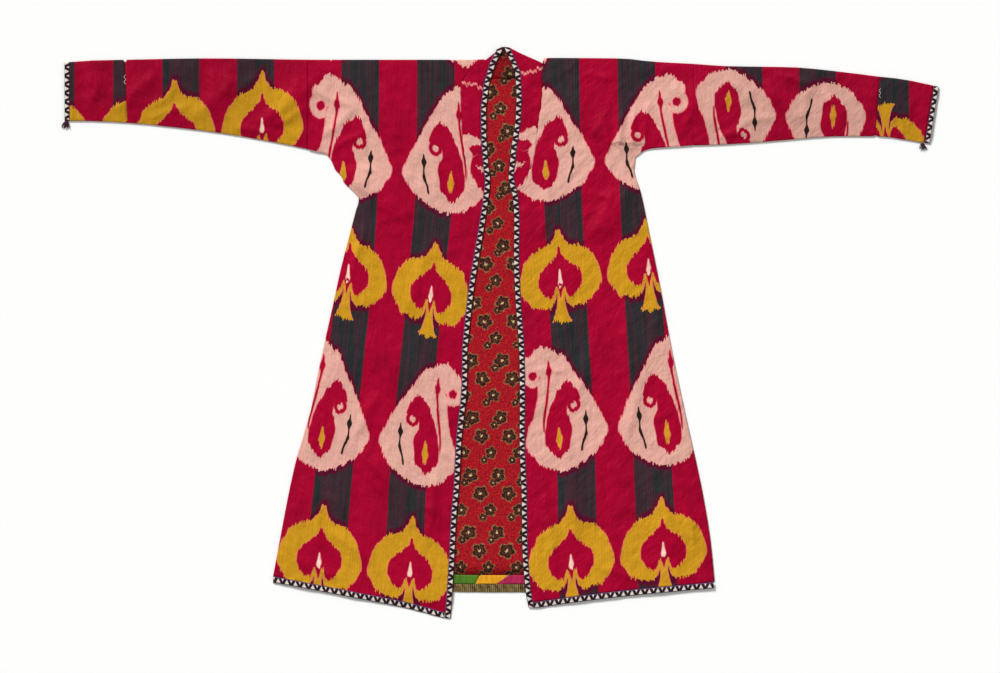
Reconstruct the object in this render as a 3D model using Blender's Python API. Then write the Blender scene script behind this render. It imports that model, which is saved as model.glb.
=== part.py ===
"""A Central Asian ikat robe (chapan) lying flat on its back, its fronts a hand apart, sleeves out sideways.

Sizes are in millimetres until the meshes are made. x runs to the right of someone who looks down at the
robe, from the centre-back seam. "drop" runs down the robe, from the shoulder line, so it is -y. z is the
height over the surface that the robe lies on.

Each piece is a grid of points on the middle of its cloth, which a Solidify modifier makes as thick as the
cloth. What lies on a panel is made from the same functions as the panel, moved out.
"""

import bpy
import numpy as np

MM = 0.001

# Cloth
SILK = 1.2  # the ikat silk with its backing
COTTON = 1.0  # the printed lining
TAPE = 2.2  # the woven tape, folded over the edge
BINDING = 2.5  # the binding of the back hem
SEAM = 0.3  # space left between pieces that meet

# Heights of the layers, at the underside of each
LINING_LEVEL = SILK + SEAM
FRONT_LEVEL = LINING_LEVEL + COTTON + SEAM
SIDE_LEVEL = SILK + SEAM  # the front comes down on the back at the side seam

# Widths
TAPE_WIDTH = 11.0
HEM_TAPE_DEPTH = 11.2
BINDING_DEPTH = 17.5
FACING_DEPTH = 19.0
SIDE_BAND = 14.0  # the front comes down over this width
LINING_INSET = 18.0
FALL_FROM, FALL_TO = 12.0, 44.0  # past the back hem, the fronts come down to the surface

# Seam places across the robe
LEFT_ARMHOLE, RIGHT_ARMHOLE = -419.0, 423.0

# Outlines. Each row is a point of a smooth curve.
SHOULDER_LINE = (  # x, drop
    (-949, 8), (-927, 3), (-818, 0), (-637, -3), (-377, 0), (-87, 0), (94, -4), (262, -3), (332, 4),
    (423, 9), (498, 14), (630, 16), (758, 28), (828, 37), (876, 42), (942, 56), (956, 59),
)
LEFT_SLEEVE_UNDERSIDE = (  # x, drop
    (-949, 133), (-924, 132), (-857, 134), (-791, 138), (-705, 147), (-615, 158), (-486, 180), (-419, 194),
)
RIGHT_SLEEVE_UNDERSIDE = (  # x, drop
    (423, 186), (464, 185), (564, 179), (649, 172), (734, 166), (819, 166), (871, 171), (909, 179),
    (937, 181),
)
LEFT_SIDE_SEAM = (  # drop, x
    (194, -419), (205, -379), (219, -368), (240, -359), (251, -346), (267, -341), (302, -305),
    (328, -314), (371, -325), (451, -346), (538, -365), (673, -395), (785, -417), (870, -444),
    (1137, -497),
)
RIGHT_SIDE_SEAM = (  # drop, x
    (186, 423), (191, 338), (197, 314), (212, 295), (239, 292), (268, 300), (289, 307), (371, 324),
    (493, 349), (624, 373), (785, 407), (940, 441), (1049, 459), (1150, 469),
)
LEFT_FRONT_EDGE = (  # drop, x of the middle of the tape
    (-25, 0), (-13, -5), (12, -18), (50, -29), (85, -36), (140, -36), (219, -32), (266, -27), (294, -30),
    (344, -37), (427, -51), (494, -62), (564, -70), (647, -77), (693, -77), (834, -90), (918, -94),
    (996, -101), (1103, -106), (1220, -114),
)
RIGHT_FRONT_EDGE = (  # drop, x of the middle of the tape
    (-25, 16), (-4, 28), (29, 39), (71, 42), (119, 41), (166, 34), (228, 27), (261, 24), (299, 34),
    (353, 37), (431, 36), (514, 39), (647, 48), (759, 49), (826, 48), (949, 53), (1054, 54), (1151, 61),
    (1195, 69),
)
LEFT_GORE_SEAM = (  # drop, x
    (0, -32), (37, -79), (50, -87), (168, -83), (229, -74), (286, -65), (304, -38),
)
RIGHT_GORE_SEAM = (  # drop, x
    (-4, 94), (22, 94), (95, 92), (139, 84), (196, 78), (251, 62), (270, 57), (288, 39),
)
LEFT_FRONT_HEM = ((-497, 1137), (-314, 1172), (-203, 1194), (-108, 1220))  # x, drop
RIGHT_FRONT_HEM = ((62, 1196), (108, 1189), (245, 1171), (390, 1157), (469, 1150))  # x, drop
BACK_HEM = ((-495, 1140), (-260, 1153), (-22, 1160), (230, 1158), (467, 1149))  # x, drop
LEFT_BACK_NECK = ((1, -32), (14, -15), (25, 0))  # drop, x
RIGHT_BACK_NECK = ((-3, 94), (12, 90), (20, 50), (25, 0))  # drop, x
COLLAR_PEAK = ((-25, -4), (-9, -16), (2, -28), (19, -28), (73, 0), (89, 6))  # x, drop of its upper edge
COLLAR_FOOT = ((-25, 4), (-14, 13), (0, 23), (50, 19), (89, 11))  # x, drop of its lower edge

# The neck lining from the peak down. Columns: drop, left x, right x
COLLAR_LINING_ROWS = ((-23, 4, 16), (-14, -4, 40), (0, -19, 66), (14, -36, 82), (40, -68, 84))

# The largest folds in the upper layer. Columns: start x, start drop, end x, end drop, half width, height
FOLDS = (
    (-338, 229, -185, 366, 36, 6),
    (-299, 578, -225, 752, 34, 5),
    (-323, 820, -153, 1042, 34, 6),
    (-436, 894, -382, 1090, 36, 4),
    (-262, 33, -218, 218, 34, 3),
    (297, 251, 185, 403, 34, 6),
    (273, 523, 305, 785, 38, 4),
    (131, 785, 164, 1090, 36, 4),
    (327, 916, 392, 1100, 36, 5),
    (131, 55, 240, 196, 34, 3),
    (-392, 33, -545, 153, 28, 5),
    (-567, 22, -676, 131, 26, 4),
    (-741, 17, -850, 113, 26, 3),
    (375, 44, 480, 164, 28, 5),
    (567, 40, 654, 153, 26, 4),
    (763, 50, 811, 148, 24, 3),
)

# Rows of the body panels, as drops at the side edge; the first ones follow the armhole and the underarm
LEFT_ROWS = (16, 37, 50, 80, 115, 155, 194, 205, 219, 240, 251, 267, 284, 302, 328, 350)
RIGHT_ROWS = (20, 58, 96, 139, 186, 191, 197, 212, 239, 254, 268, 289, 318, 350)
ROW_SPACING = 36.0  # below those rows
HEM_ROWS = (60.0, 46.0, 32.0, 18.0, 0.0)  # drops above the hem
BACK_ROW_SPACING = 110.0
COLUMNS = 11
GORE_COLUMNS = 3
SKEW_FADES_OVER = 120.0  # the gore's top edge lies along the fold of the neck band
LINING_DROPS = (
    40.6, 95, 135, 165, 215, 240, 267, 302, 328, 371, 451, 538, 624, 700, 785, 870, 960, 1050, 1110,
)
LINING_COLUMNS = 9
UNDERARM_BELOW = 14.0  # the side seam starts this far below the armhole's foot
ARMHOLE_ROUNDING = 50.0  # the lining's side follows the armhole down to this far above its foot
ARMHOLE_INSET = 22.0  # of the lining, besides its usual inset
HEM_AT_SIDE = 1140.0  # drop of the side seam's foot, near enough to find the back hem beside it
UNDERARM_END = 400.0  # below this drop the back needs only a few rows
BACK_UPPER_ROWS = (60.0, 60.0)  # above the armhole's foot, and below the shoulder
BACK_NECK_FALL = 30.0  # how far the rows of the back fall towards the armhole
SIDE_LOWERED_UNTIL = 20.0  # above the back hem
GORE_LAP = 0.6  # the gore keeps this far from its seam
LEAST_ROW = 4.0  # between two rows
BRAID_ROWS_END = 1.0  # the tape's last row, above the corner
COLLAR_LINING_COLUMNS, FACING_COLUMNS, BINDING_COLUMNS = 5, 4, 17
TASSEL_KNOT, TASSEL_SPREAD, TASSEL_HEIGHT, TASSEL_SIDES = 4.0, 9.0, 5.0, 8
SLOPE_SPAN = 4.0  # the front edge's slope is read this far up and down
WIDEST_SLANT = 1.5  # limit on how much a slant widens the tape
FINDING_STEPS = 8

# Sleeves. Columns: x at the upper edge, x at the lower edge
LEFT_SLEEVE_RINGS = ((-419, -419), (-455, -455), (-492, -492), (-530, -530), (-568, -568), (-606, -606),
                     (-645, -645), (-684, -684), (-724, -722), (-770, -766), (-818, -813))
RIGHT_SLEEVE_RINGS = ((423, 423), (458, 458), (494, 493), (532, 530), (570, 568), (608, 606), (648, 644),
                      (690, 685), (734, 728), (780, 773), (828, 819))
LEFT_END_RINGS = ((-818, -813), (-852, -848), (-890, -887), (-938, -938))
RIGHT_END_RINGS = ((828, 819), (862, 852), (900, 887), (945, 926))
ACROSS_LOWER, ACROSS_UPPER, ACROSS_FOLD = 5, 8, 3  # points round a sleeve

# Colours, as sRGB hex
CRIMSON, PRINT_RED = "A8002E", "B4182A"
GREEN, GOLD, ROSE = "4E7A1E", "D9A01C", "A82452"
TAPE_DARK, BINDING_DARK, THREAD_DARK = "4A3038", "5A4632", "3A1E26"


def curve_through(points):
    """A smooth curve through the points, which never swings past them, as a function."""
    at, value = np.array(points, float).T
    step = np.diff(at)
    slope = np.diff(value) / step
    product = slope[:-1] * slope[1:]
    total = slope[:-1] + slope[1:]
    inner = np.where(product > 0, 2 * product / np.where(product > 0, total, 1), 0)
    tangent = np.concatenate([slope[:1], inner, slope[-1:]])

    def read(where):
        where = np.clip(np.asarray(where, float), at[0], at[-1])
        k = np.clip(np.searchsorted(at, where, side="right") - 1, 0, len(step) - 1)
        t = (where - at[k]) / step[k]
        return (
            (1 + 2 * t) * (1 - t) ** 2 * value[k]
            + t * (1 - t) ** 2 * step[k] * tangent[k]
            + t * t * (3 - 2 * t) * value[k + 1]
            - t * t * (1 - t) * step[k] * tangent[k + 1]
        )

    return read


shoulder = curve_through(SHOULDER_LINE)
back_hem = curve_through(BACK_HEM)


def smooth_step(t):
    t = np.clip(t, 0, 1)
    return t * t * (3 - 2 * t)


def fold_height(x, drop):
    """How far the folds lift the upper layer: soft ridges, highest in the middle of their length."""
    lift = np.zeros(np.broadcast(x, drop).shape)
    for start_x, start_drop, end_x, end_drop, half_width, height in FOLDS:
        run = np.array([end_x - start_x, end_drop - start_drop], float)
        length = np.hypot(*run)
        along = ((x - start_x) * run[0] + (drop - start_drop) * run[1]) / length**2
        aside = ((x - start_x) * run[1] - (drop - start_drop) * run[0]) / length
        ridge = np.cos(np.pi / 2 * np.clip(aside / half_width, -1, 1)) ** 2
        lift = lift + height * ridge * np.sin(np.pi * np.clip(along, 0, 1))
    return lift


def front_underside(x, drop):
    """Height of the underside of the upper layer. Past the back hem it comes down to the surface."""
    past = drop - back_hem(x)
    fall = smooth_step((past - FALL_FROM) / (FALL_TO - FALL_FROM))
    return FRONT_LEVEL * (1 - fall) + fold_height(x, drop)


def srgb_to_linear(code):
    levels = np.array([int(code[i : i + 2], 16) for i in (0, 2, 4)]) / 255
    linear = np.where(levels <= 0.04045, levels / 12.92, ((levels + 0.055) / 1.055) ** 2.4)
    return (*linear, 1.0)


def cloth_material(name, code, roughness):
    material = bpy.data.materials.new(name)
    material.use_nodes = True
    shader = material.node_tree.nodes["Principled BSDF"]
    shader.inputs["Base Color"].default_value = srgb_to_linear(code)
    shader.inputs["Roughness"].default_value = roughness
    shader.inputs["Metallic"].default_value = 0.0
    return material


def add_cloth(name, grid, thickness, material, parent, ring=False):
    """One piece of cloth: a grid of points (rows, columns, xyz) on its middle, made thick. A ring is a
    tube whose rows each close on themselves."""
    grid = np.asarray(grid, float)
    rows, columns = grid.shape[:2]
    faces = []
    for r in range(rows - 1):
        for c in range(columns if ring else columns - 1):
            after = (c + 1) % columns
            faces.append(
                (r * columns + c, r * columns + after, (r + 1) * columns + after, (r + 1) * columns + c)
            )
    mesh = bpy.data.meshes.new(name)
    mesh.from_pydata((grid.reshape(-1, 3) * MM).tolist(), [], faces)
    mesh.shade_smooth()
    mesh.materials.append(material)
    piece = bpy.data.objects.new(name, mesh)
    bpy.context.scene.collection.objects.link(piece)
    piece.parent = parent
    wall = piece.modifiers.new("cloth", "SOLIDIFY")
    wall.thickness = thickness * MM
    wall.offset = 0.0
    return piece


def points_of(x, drop, z):
    """Stacks x, drop and z into points, with y up the robe."""
    x, drop, z = np.broadcast_arrays(x, drop, z)
    return np.stack([x, -drop, z], axis=-1).astype(float)


class Side:
    """The outlines of one half of the robe, and the rows that its pieces share."""

    def __init__(self, sign, side_seam, front_edge, gore_seam, hem, back_neck, rows, armhole):
        self.sign = sign  # -1 on the left, +1 on the right
        self.side_seam = curve_through(side_seam)
        self.edge = curve_through(front_edge)
        self.gore_seam = curve_through(gore_seam)
        self.gore_end = gore_seam[-1][0]
        self.hem = curve_through(hem)
        self.back_neck = back_neck
        self.armhole = armhole
        self.armhole_drop = side_seam[0][0]
        self.corner_drop = float(self.hem(hem[-1][0] if sign < 0 else hem[0][0]))
        hem_at_side = float(self.panel_hem(side_seam[-1][1]))
        last_even = hem_at_side - HEM_ROWS[0]
        count = int(round((last_even - rows[-1]) / ROW_SPACING))
        even = rows[-1] + (last_even - rows[-1]) * np.arange(1, count) / count
        self.row_drops = np.array([*rows, *even, *(hem_at_side - np.array(HEM_ROWS))])

    def panel_hem(self, x):
        return self.hem(x) - HEM_TAPE_DEPTH - SEAM

    def tape_edges(self, drop):
        """The x of the tape's outer and inner edge, square to its run."""
        rise = self.edge(drop + SLOPE_SPAN) - self.edge(drop - SLOPE_SPAN)
        slant = np.hypot(1, rise / (2 * SLOPE_SPAN))
        middle = self.edge(drop)
        half = TAPE_WIDTH / 2 * np.minimum(slant, WIDEST_SLANT)
        return middle + self.sign * half, middle - self.sign * half

    def inner_edge(self, drop):
        """The x of the body's front edge: the gore's seam, and below it the tape."""
        tape = self.tape_edges(drop)[0]
        seam = self.gore_seam(drop)
        below = smooth_step((drop - self.gore_end) / ROW_SPACING)
        return seam + (tape - seam) * below + self.sign * 2 * SEAM * (1 - below / 2)

    def outer_edge(self, drop):
        seam = self.side_seam(drop)
        return np.where(drop < self.armhole_drop, self.armhole, seam) - self.sign * SEAM / 2

    def front_rows(self):
        """For each row of the front: the outer x, the inner x, and how far it is from the fold to the hem."""
        fold = FRONT_LEVEL / 2
        rows = []
        for drop in self.row_drops:
            outer = float(self.outer_edge(drop))
            top = float(shoulder(outer)) + fold
            share = (drop - top) / (float(self.panel_hem(outer)) - top)
            inner = float(self.inner_edge(drop))
            for _ in range(FINDING_STEPS):
                inner = float(self.inner_edge(self.drop_at(inner, share, fold)))
            rows.append((outer, inner, share))
        return fold, rows

    def drop_at(self, x, share, fold):
        top = shoulder(x) + fold
        return top + share * (self.panel_hem(x) - top)


LEFT = Side(-1, LEFT_SIDE_SEAM, LEFT_FRONT_EDGE, LEFT_GORE_SEAM, LEFT_FRONT_HEM, LEFT_BACK_NECK, LEFT_ROWS,
            LEFT_ARMHOLE)
RIGHT = Side(1, RIGHT_SIDE_SEAM, RIGHT_FRONT_EDGE, RIGHT_GORE_SEAM, RIGHT_FRONT_HEM, RIGHT_BACK_NECK,
             RIGHT_ROWS, RIGHT_ARMHOLE)


def columns_between(outer, inner):
    """x across a row: the outer edge, the end of the band where the front comes down, then even steps."""
    band = outer + np.sign(inner - outer) * SIDE_BAND
    return np.concatenate([[outer], band + (inner - band) * np.linspace(0, 1, COLUMNS)])


def body_grid(side):
    """One length of silk: up the back, over the shoulder and down the front."""
    fold, front_rows = side.front_rows()
    middle = SILK / 2
    seam_x = side.sign * SEAM / 2
    grid = []

    back_foot = float(back_hem(side.side_seam(HEM_AT_SIDE)) - BINDING_DEPTH - SEAM)
    underarm = [drop for drop in side.row_drops if side.armhole_drop <= drop < UNDERARM_END]
    count = int((back_foot - underarm[-1]) / BACK_ROW_SPACING)
    lower = np.linspace(back_foot, underarm[-1], count, endpoint=False)
    upper = (side.armhole_drop - BACK_UPPER_ROWS[0], BACK_UPPER_ROWS[1])
    for drop in (*lower, *reversed(underarm), *upper):
        x = columns_between(float(side.outer_edge(drop)), seam_x)
        foot = back_hem(x) - BINDING_DEPTH - SEAM
        grid.append(points_of(x, drop + (foot - back_foot) * (drop / back_foot) ** 2, middle))

    for step, (neck_drop, neck_x) in enumerate(reversed(side.back_neck)):
        above = 1 - (step + 1) / len(side.back_neck)
        x = columns_between(float(side.outer_edge(0)), neck_x + side.sign * SEAM)
        share = (x - x[0]) / (x[-1] - x[0])
        at_neck = max(neck_drop - float(shoulder(neck_x)), fold)
        at_armhole = fold + above * BACK_NECK_FALL
        grid.append(points_of(x, shoulder(x) + at_armhole + (at_neck - at_armhole) * share, middle))

    for turn in np.radians((45, 90, 135)):
        grid.append(points_of(x, shoulder(x) + fold * (1 - np.sin(turn)), middle + fold * (1 - np.cos(turn))))
    grid.append(points_of(x, shoulder(x) + fold, middle + 2 * fold))

    for (outer, inner, share), drop in zip(front_rows, side.row_drops):
        x = columns_between(outer, inner)
        drops = side.drop_at(x, share, fold)
        z = front_underside(x, drops) + middle
        if side.armhole_drop <= drop < back_foot - SIDE_LOWERED_UNTIL:
            z[0] += SIDE_LEVEL - FRONT_LEVEL
        grid.append(points_of(x, drops, z))
    return grid


def seam_drops(side):
    """Drops of the body's front rows at its inner edge, which the gore and the tape share."""
    fold, rows = side.front_rows()
    return np.array([float(side.drop_at(inner, share, fold)) for _, inner, share in rows])


def gore_rows(side, top_outer, top_inner):
    """For each row of the gore, its drop at the body's seam and its drop at the tape."""
    at_seam = np.array([d for d in seam_drops(side) if top_outer + LEAST_ROW < d < side.gore_end])
    at_seam = np.concatenate([[top_outer], at_seam])
    fade = np.clip(1 - (at_seam - top_outer) / SKEW_FADES_OVER, 0, 1)
    at_tape = at_seam - (top_outer - top_inner) * fade
    at_tape[-1] = side.gore_end  # its foot is cut on a slant
    return at_seam, at_tape


def gore_grid(side, top_outer, top_inner):
    grid = []
    for at_seam, at_tape in zip(*gore_rows(side, top_outer, top_inner)):
        outer = float(side.gore_seam(at_seam)) - side.sign * GORE_LAP
        inner = float(side.tape_edges(at_tape)[0]) + side.sign * SEAM
        share = np.linspace(0, 1, GORE_COLUMNS + 1)
        x = outer + (inner - outer) * share
        drop = at_seam + (at_tape - at_seam) * share
        grid.append(points_of(x, drop, front_underside(x, drop) + SILK / 2))
    return grid


def front_tape_grid(side, top_outer, top_inner, tape_top):
    """The tape from the peak of the neck band to the front corner of the hem."""
    beside_gore = gore_rows(side, top_outer, top_inner)[1]
    beside_body = [d for d in seam_drops(side) if d > beside_gore[-1] + LEAST_ROW]
    grid = []
    for drop in (tape_top, *beside_gore, *beside_body, side.corner_drop - BRAID_ROWS_END):
        outer, inner = side.tape_edges(drop)
        x = np.array([outer, inner])
        grid.append(points_of(x, drop, front_underside(x, drop) + TAPE / 2))
    return grid


def hem_tape_grid(side):
    outer = float(side.outer_edge(side.row_drops[-1]))
    grid = []
    for above in (HEM_TAPE_DEPTH, 0.0):
        inner = float(side.tape_edges(side.corner_drop - above)[0]) + side.sign * 2 * SEAM
        x = columns_between(outer, inner)
        drop = side.hem(x) - above
        grid.append(points_of(x, drop, front_underside(x, drop) + TAPE / 2))
    return grid


def sleeve_grid(rings, underside, thickness, outward):
    """A flattened tube. Each ring goes down the lower layer, round the lower edge and back up the upper."""
    turn_radius = (FRONT_LEVEL - SILK + thickness) / 2
    turns = np.radians(180 * np.arange(1, ACROSS_FOLD + 1) / (ACROSS_FOLD + 1))
    grid = []
    for index, (top_x, low_x) in enumerate(rings):
        shift = outward * SEAM / 2 * ((index == 0) - (index == len(rings) - 1))
        top, low = float(shoulder(top_x)), float(underside(low_x))
        lower = np.linspace(top + turn_radius, low - turn_radius, ACROSS_LOWER)
        upper = np.linspace(low - turn_radius, top + turn_radius, ACROSS_UPPER)
        drop = np.concatenate([
            lower,
            low - turn_radius + turn_radius * np.sin(turns),
            upper,
            top + turn_radius - turn_radius * np.sin(turns),
        ])
        x = top_x + shift + (low_x - top_x) * (drop - top) / (low - top)
        from_edge = np.minimum(upper - top, low - upper) / (low - top)
        lift = fold_height(x[ACROSS_LOWER + ACROSS_FOLD :][:ACROSS_UPPER], upper)
        z = thickness / 2 + turn_radius * np.concatenate([
            np.zeros(ACROSS_LOWER),
            1 - np.cos(turns),
            np.full(ACROSS_UPPER, 2.0),
            1 + np.cos(turns),
        ])
        z[ACROSS_LOWER + ACROSS_FOLD :][:ACROSS_UPPER] += lift * np.clip(5 * from_edge, 0, 1)
        grid.append(points_of(x, drop, z))
    return grid


def collar_back_grid():
    peak, foot = curve_through(COLLAR_PEAK), curve_through(COLLAR_FOOT)
    x = np.array([row[0] for row in COLLAR_PEAK], float)
    top, low = peak(x), foot(x) - SEAM
    return [points_of(x, top + (low - top) * share, SILK / 2) for share in (0, 0.5, 1)]


def collar_lining_grid():
    middle = LINING_LEVEL + COTTON / 2
    return [
        points_of(np.linspace(left, right, COLLAR_LINING_COLUMNS), drop, middle)
        for drop, left, right in COLLAR_LINING_ROWS
    ]


def lining_foot(x):
    return back_hem(x) - BINDING_DEPTH - SEAM - FACING_DEPTH - SEAM


def back_lining_grid():
    grid = []
    full = LINING_DROPS[-1]
    for drop in LINING_DROPS:
        ends = []
        for side in (LEFT, RIGHT):
            below = float(side.side_seam(max(drop, side.armhole_drop + UNDERARM_BELOW)))
            beside_sleeve = drop < side.armhole_drop - ARMHOLE_ROUNDING
            edge = side.armhole - side.sign * ARMHOLE_INSET if beside_sleeve else below
            ends.append(edge - side.sign * LINING_INSET)
        x = np.linspace(*ends, LINING_COLUMNS)
        at = drop + (lining_foot(x) - full) * (drop / full) ** 4
        grid.append(points_of(x, at, LINING_LEVEL + COTTON / 2))
    return grid


def facing_grid(left_top, left_foot, right_top, right_foot):
    grid = []
    for share, left, right in ((0, left_top, right_top), (1, left_foot, right_foot)):
        x = np.linspace(left + SEAM / 2, right - SEAM / 2, FACING_COLUMNS)
        drop = lining_foot(x) + SEAM + FACING_DEPTH * share
        grid.append(points_of(x, drop, LINING_LEVEL + COTTON / 2))
    return grid


def binding_grid():
    x = np.linspace(BACK_HEM[0][0], BACK_HEM[-1][0], BINDING_COLUMNS)
    return [points_of(x, back_hem(x) - above, BINDING / 2) for above in (BINDING_DEPTH, 0.0)]


def add_tassel(name, top_x, top_drop, foot_x, foot_drop, material, parent):
    """A plain brush shape: narrow at its knot, wide at its ends, lying flat."""
    mesh = bpy.data.meshes.new(name)
    turns = np.linspace(0, 2 * np.pi, TASSEL_SIDES, endpoint=False)
    along = np.array([foot_x - top_x, -(foot_drop - top_drop)], float)
    across = np.array([-along[1], along[0]]) / np.hypot(*along)
    points = []
    for x, drop, width in ((top_x, top_drop, TASSEL_KNOT), (foot_x, foot_drop, TASSEL_SPREAD)):
        for turn in turns:
            aside = across * width * np.cos(turn)
            points.append((x + aside[0], -drop + aside[1], TASSEL_HEIGHT / 2 * (1 + np.sin(turn))))
    first = list(range(TASSEL_SIDES))
    last = [TASSEL_SIDES + k for k in first]
    sides = [(k, first[k - TASSEL_SIDES + 1], last[k - TASSEL_SIDES + 1], last[k]) for k in first]
    mesh.from_pydata((np.array(points) * MM).tolist(), [], [*sides, first[::-1], last])
    mesh.materials.append(material)
    piece = bpy.data.objects.new(name, mesh)
    bpy.context.scene.collection.objects.link(piece)
    piece.parent = parent
    return piece


def stand_on_origin(robe):
    """Moves the robe so that the middle of the underside of its box is at the origin."""
    bpy.context.view_layer.update()
    graph = bpy.context.evaluated_depsgraph_get()
    finished = [piece.evaluated_get(graph) for piece in robe.children]
    corners = np.array([corner[:] for piece in finished for corner in piece.bound_box])
    low, high = corners.min(axis=0), corners.max(axis=0)
    robe.location = (-(low[0] + high[0]) / 2, -(low[1] + high[1]) / 2, -low[2])


def make_robe():
    for old in list(bpy.data.objects):
        bpy.data.objects.remove(old)
    robe = bpy.data.objects.new("robe", None)
    bpy.context.scene.collection.objects.link(robe)

    silk = cloth_material("silk_ikat", CRIMSON, 0.5)
    print_cotton = cloth_material("printed_cotton", PRINT_RED, 0.85)
    tape = cloth_material("woven_tape", TAPE_DARK, 0.8)
    binding = cloth_material("hem_binding", BINDING_DARK, 0.8)
    thread = cloth_material("tassel_thread", THREAD_DARK, 0.8)
    facings = (
        ("hem_facing_green", cloth_material("silk_green", GREEN, 0.5), -125, -125, -44, -54),
        ("hem_facing_gold", cloth_material("silk_gold", GOLD, 0.5), -44, -54, 19, -7),
        ("hem_facing_rose", cloth_material("silk_rose", ROSE, 0.5), 19, -7, 78, 78),
    )

    # Columns: name, side, gore's top edge at the body and at the tape, top of the tape
    for name, side, top_outer, top_inner, tape_top in (
        ("left", LEFT, 37.0, -17.0, -24.0),
        ("right", RIGHT, 7.0, -24.0, -27.0),
    ):
        top = (top_outer, top_inner)
        add_cloth(f"body_{name}", body_grid(side), SILK, silk, robe)
        add_cloth(f"neck_gore_{name}", gore_grid(side, *top), SILK, silk, robe)
        add_cloth(f"trim_front_{name}", front_tape_grid(side, *top, tape_top), TAPE, tape, robe)
        add_cloth(f"trim_hem_{name}", hem_tape_grid(side), TAPE, tape, robe)

    left_under = curve_through(LEFT_SLEEVE_UNDERSIDE)
    right_under = curve_through(RIGHT_SLEEVE_UNDERSIDE)
    # Columns: name, rings, curve of the lower edge, thickness, material, outward direction
    for name, rings, under, thickness, material, outward in (
        ("sleeve_left", LEFT_SLEEVE_RINGS, left_under, SILK, silk, -1),
        ("sleeve_right", RIGHT_SLEEVE_RINGS, right_under, SILK, silk, 1),
        ("sleeve_end_left", LEFT_END_RINGS, left_under, SILK, silk, -1),
        ("sleeve_end_right", RIGHT_END_RINGS, right_under, SILK, silk, 1),
        ("trim_cuff_left", ((-938, -938), (-949, -949)), left_under, TAPE, tape, -1),
        ("trim_cuff_right", ((945, 926), (956, 937)), right_under, TAPE, tape, 1),
    ):
        add_cloth(name, sleeve_grid(rings, under, thickness, outward), thickness, material, robe, ring=True)

    add_cloth("collar_back", collar_back_grid(), SILK, silk, robe)
    add_cloth("collar_lining", collar_lining_grid(), COTTON, print_cotton, robe)
    add_cloth("back_lining", back_lining_grid(), COTTON, print_cotton, robe)
    for name, material, *corners in facings:
        add_cloth(name, facing_grid(*corners), COTTON, material, robe)
    add_cloth("hem_binding_back", binding_grid(), BINDING, binding, robe)
    add_tassel("tassel_left", -943, 134.5, -945, 149, thread, robe)
    add_tassel("tassel_right", 922, 183, 921, 196, thread, robe)
    stand_on_origin(robe)


make_robe()
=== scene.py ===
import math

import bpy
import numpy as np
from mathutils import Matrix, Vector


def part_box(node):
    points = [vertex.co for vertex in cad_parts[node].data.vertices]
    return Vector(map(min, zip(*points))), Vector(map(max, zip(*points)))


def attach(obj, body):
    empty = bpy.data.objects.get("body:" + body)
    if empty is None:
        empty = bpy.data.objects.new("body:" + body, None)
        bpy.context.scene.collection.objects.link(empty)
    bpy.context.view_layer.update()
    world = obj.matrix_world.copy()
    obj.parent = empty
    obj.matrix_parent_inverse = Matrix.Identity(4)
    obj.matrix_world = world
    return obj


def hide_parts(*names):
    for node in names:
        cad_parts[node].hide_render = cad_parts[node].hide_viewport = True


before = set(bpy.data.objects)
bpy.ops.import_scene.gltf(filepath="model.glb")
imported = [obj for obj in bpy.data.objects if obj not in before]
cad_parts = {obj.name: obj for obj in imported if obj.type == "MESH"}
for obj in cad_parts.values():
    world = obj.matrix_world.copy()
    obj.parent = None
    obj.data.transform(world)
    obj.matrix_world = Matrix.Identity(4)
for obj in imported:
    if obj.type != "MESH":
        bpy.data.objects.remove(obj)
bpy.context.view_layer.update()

# A Central Asian robe (chapan) of warp ikat silk, lying flat and open by a hand, on a pale table.
#
# Sizes are in millimetres until the meshes are made. x runs to the right of the centre-back seam, "drop"
# runs down the robe from the shoulder line, and z is the height over the table. Every outline is read from
# the frame's own nodes.

MM = 0.001
SHELL = 1.0  # the silk with its backing
THIN = 0.8  # printed cotton and the silk facings
STEP = 5.0  # between the points of the upper layer
EDGE = 0.7  # the middle of a folded edge lies this far inside the outline
SEAM_LAP = 1.2  # a sleeve's cloth reaches this far past its seam
PANEL_LAP = 0.6  # the body's front edge reaches this far into the neck strip and the tape
LINING_LAP = 3.5  # the neck lining reaches this far past its node, onto the back lining
NECK_RISE = 23.0  # the neck lining begins this far above the shoulder line
NO_SHAPE = -9.0  # the half width of a motif where it isn't there
VIEW_WIDTH = 2180.0  # what the camera sees, across
VIEW_MIDDLE = (0.0, 602.8)  # x and drop of the middle of the view

X0 = 500 * (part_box("body_left")[1].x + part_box("body_right")[0].x)
Y0 = 1000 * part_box("collar_lining")[1].y - NECK_RISE
LINING_LEVEL = 1000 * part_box("back_lining")[0].z
FRONT_LEVEL = 1000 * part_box("neck_gore_left")[0].z
TURN = FRONT_LEVEL / 2  # radius of a folded edge
CLOTH_RISE = 0.8  # the upper layer doesn't lie quite flat on what is below
TAPE_WIDTH = 11.0

CREASE_GAIN = 1.9  # every crease is this many times as high as its row says
HIGHEST_CREASE = 9.0  # but they level off below this height
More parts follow.
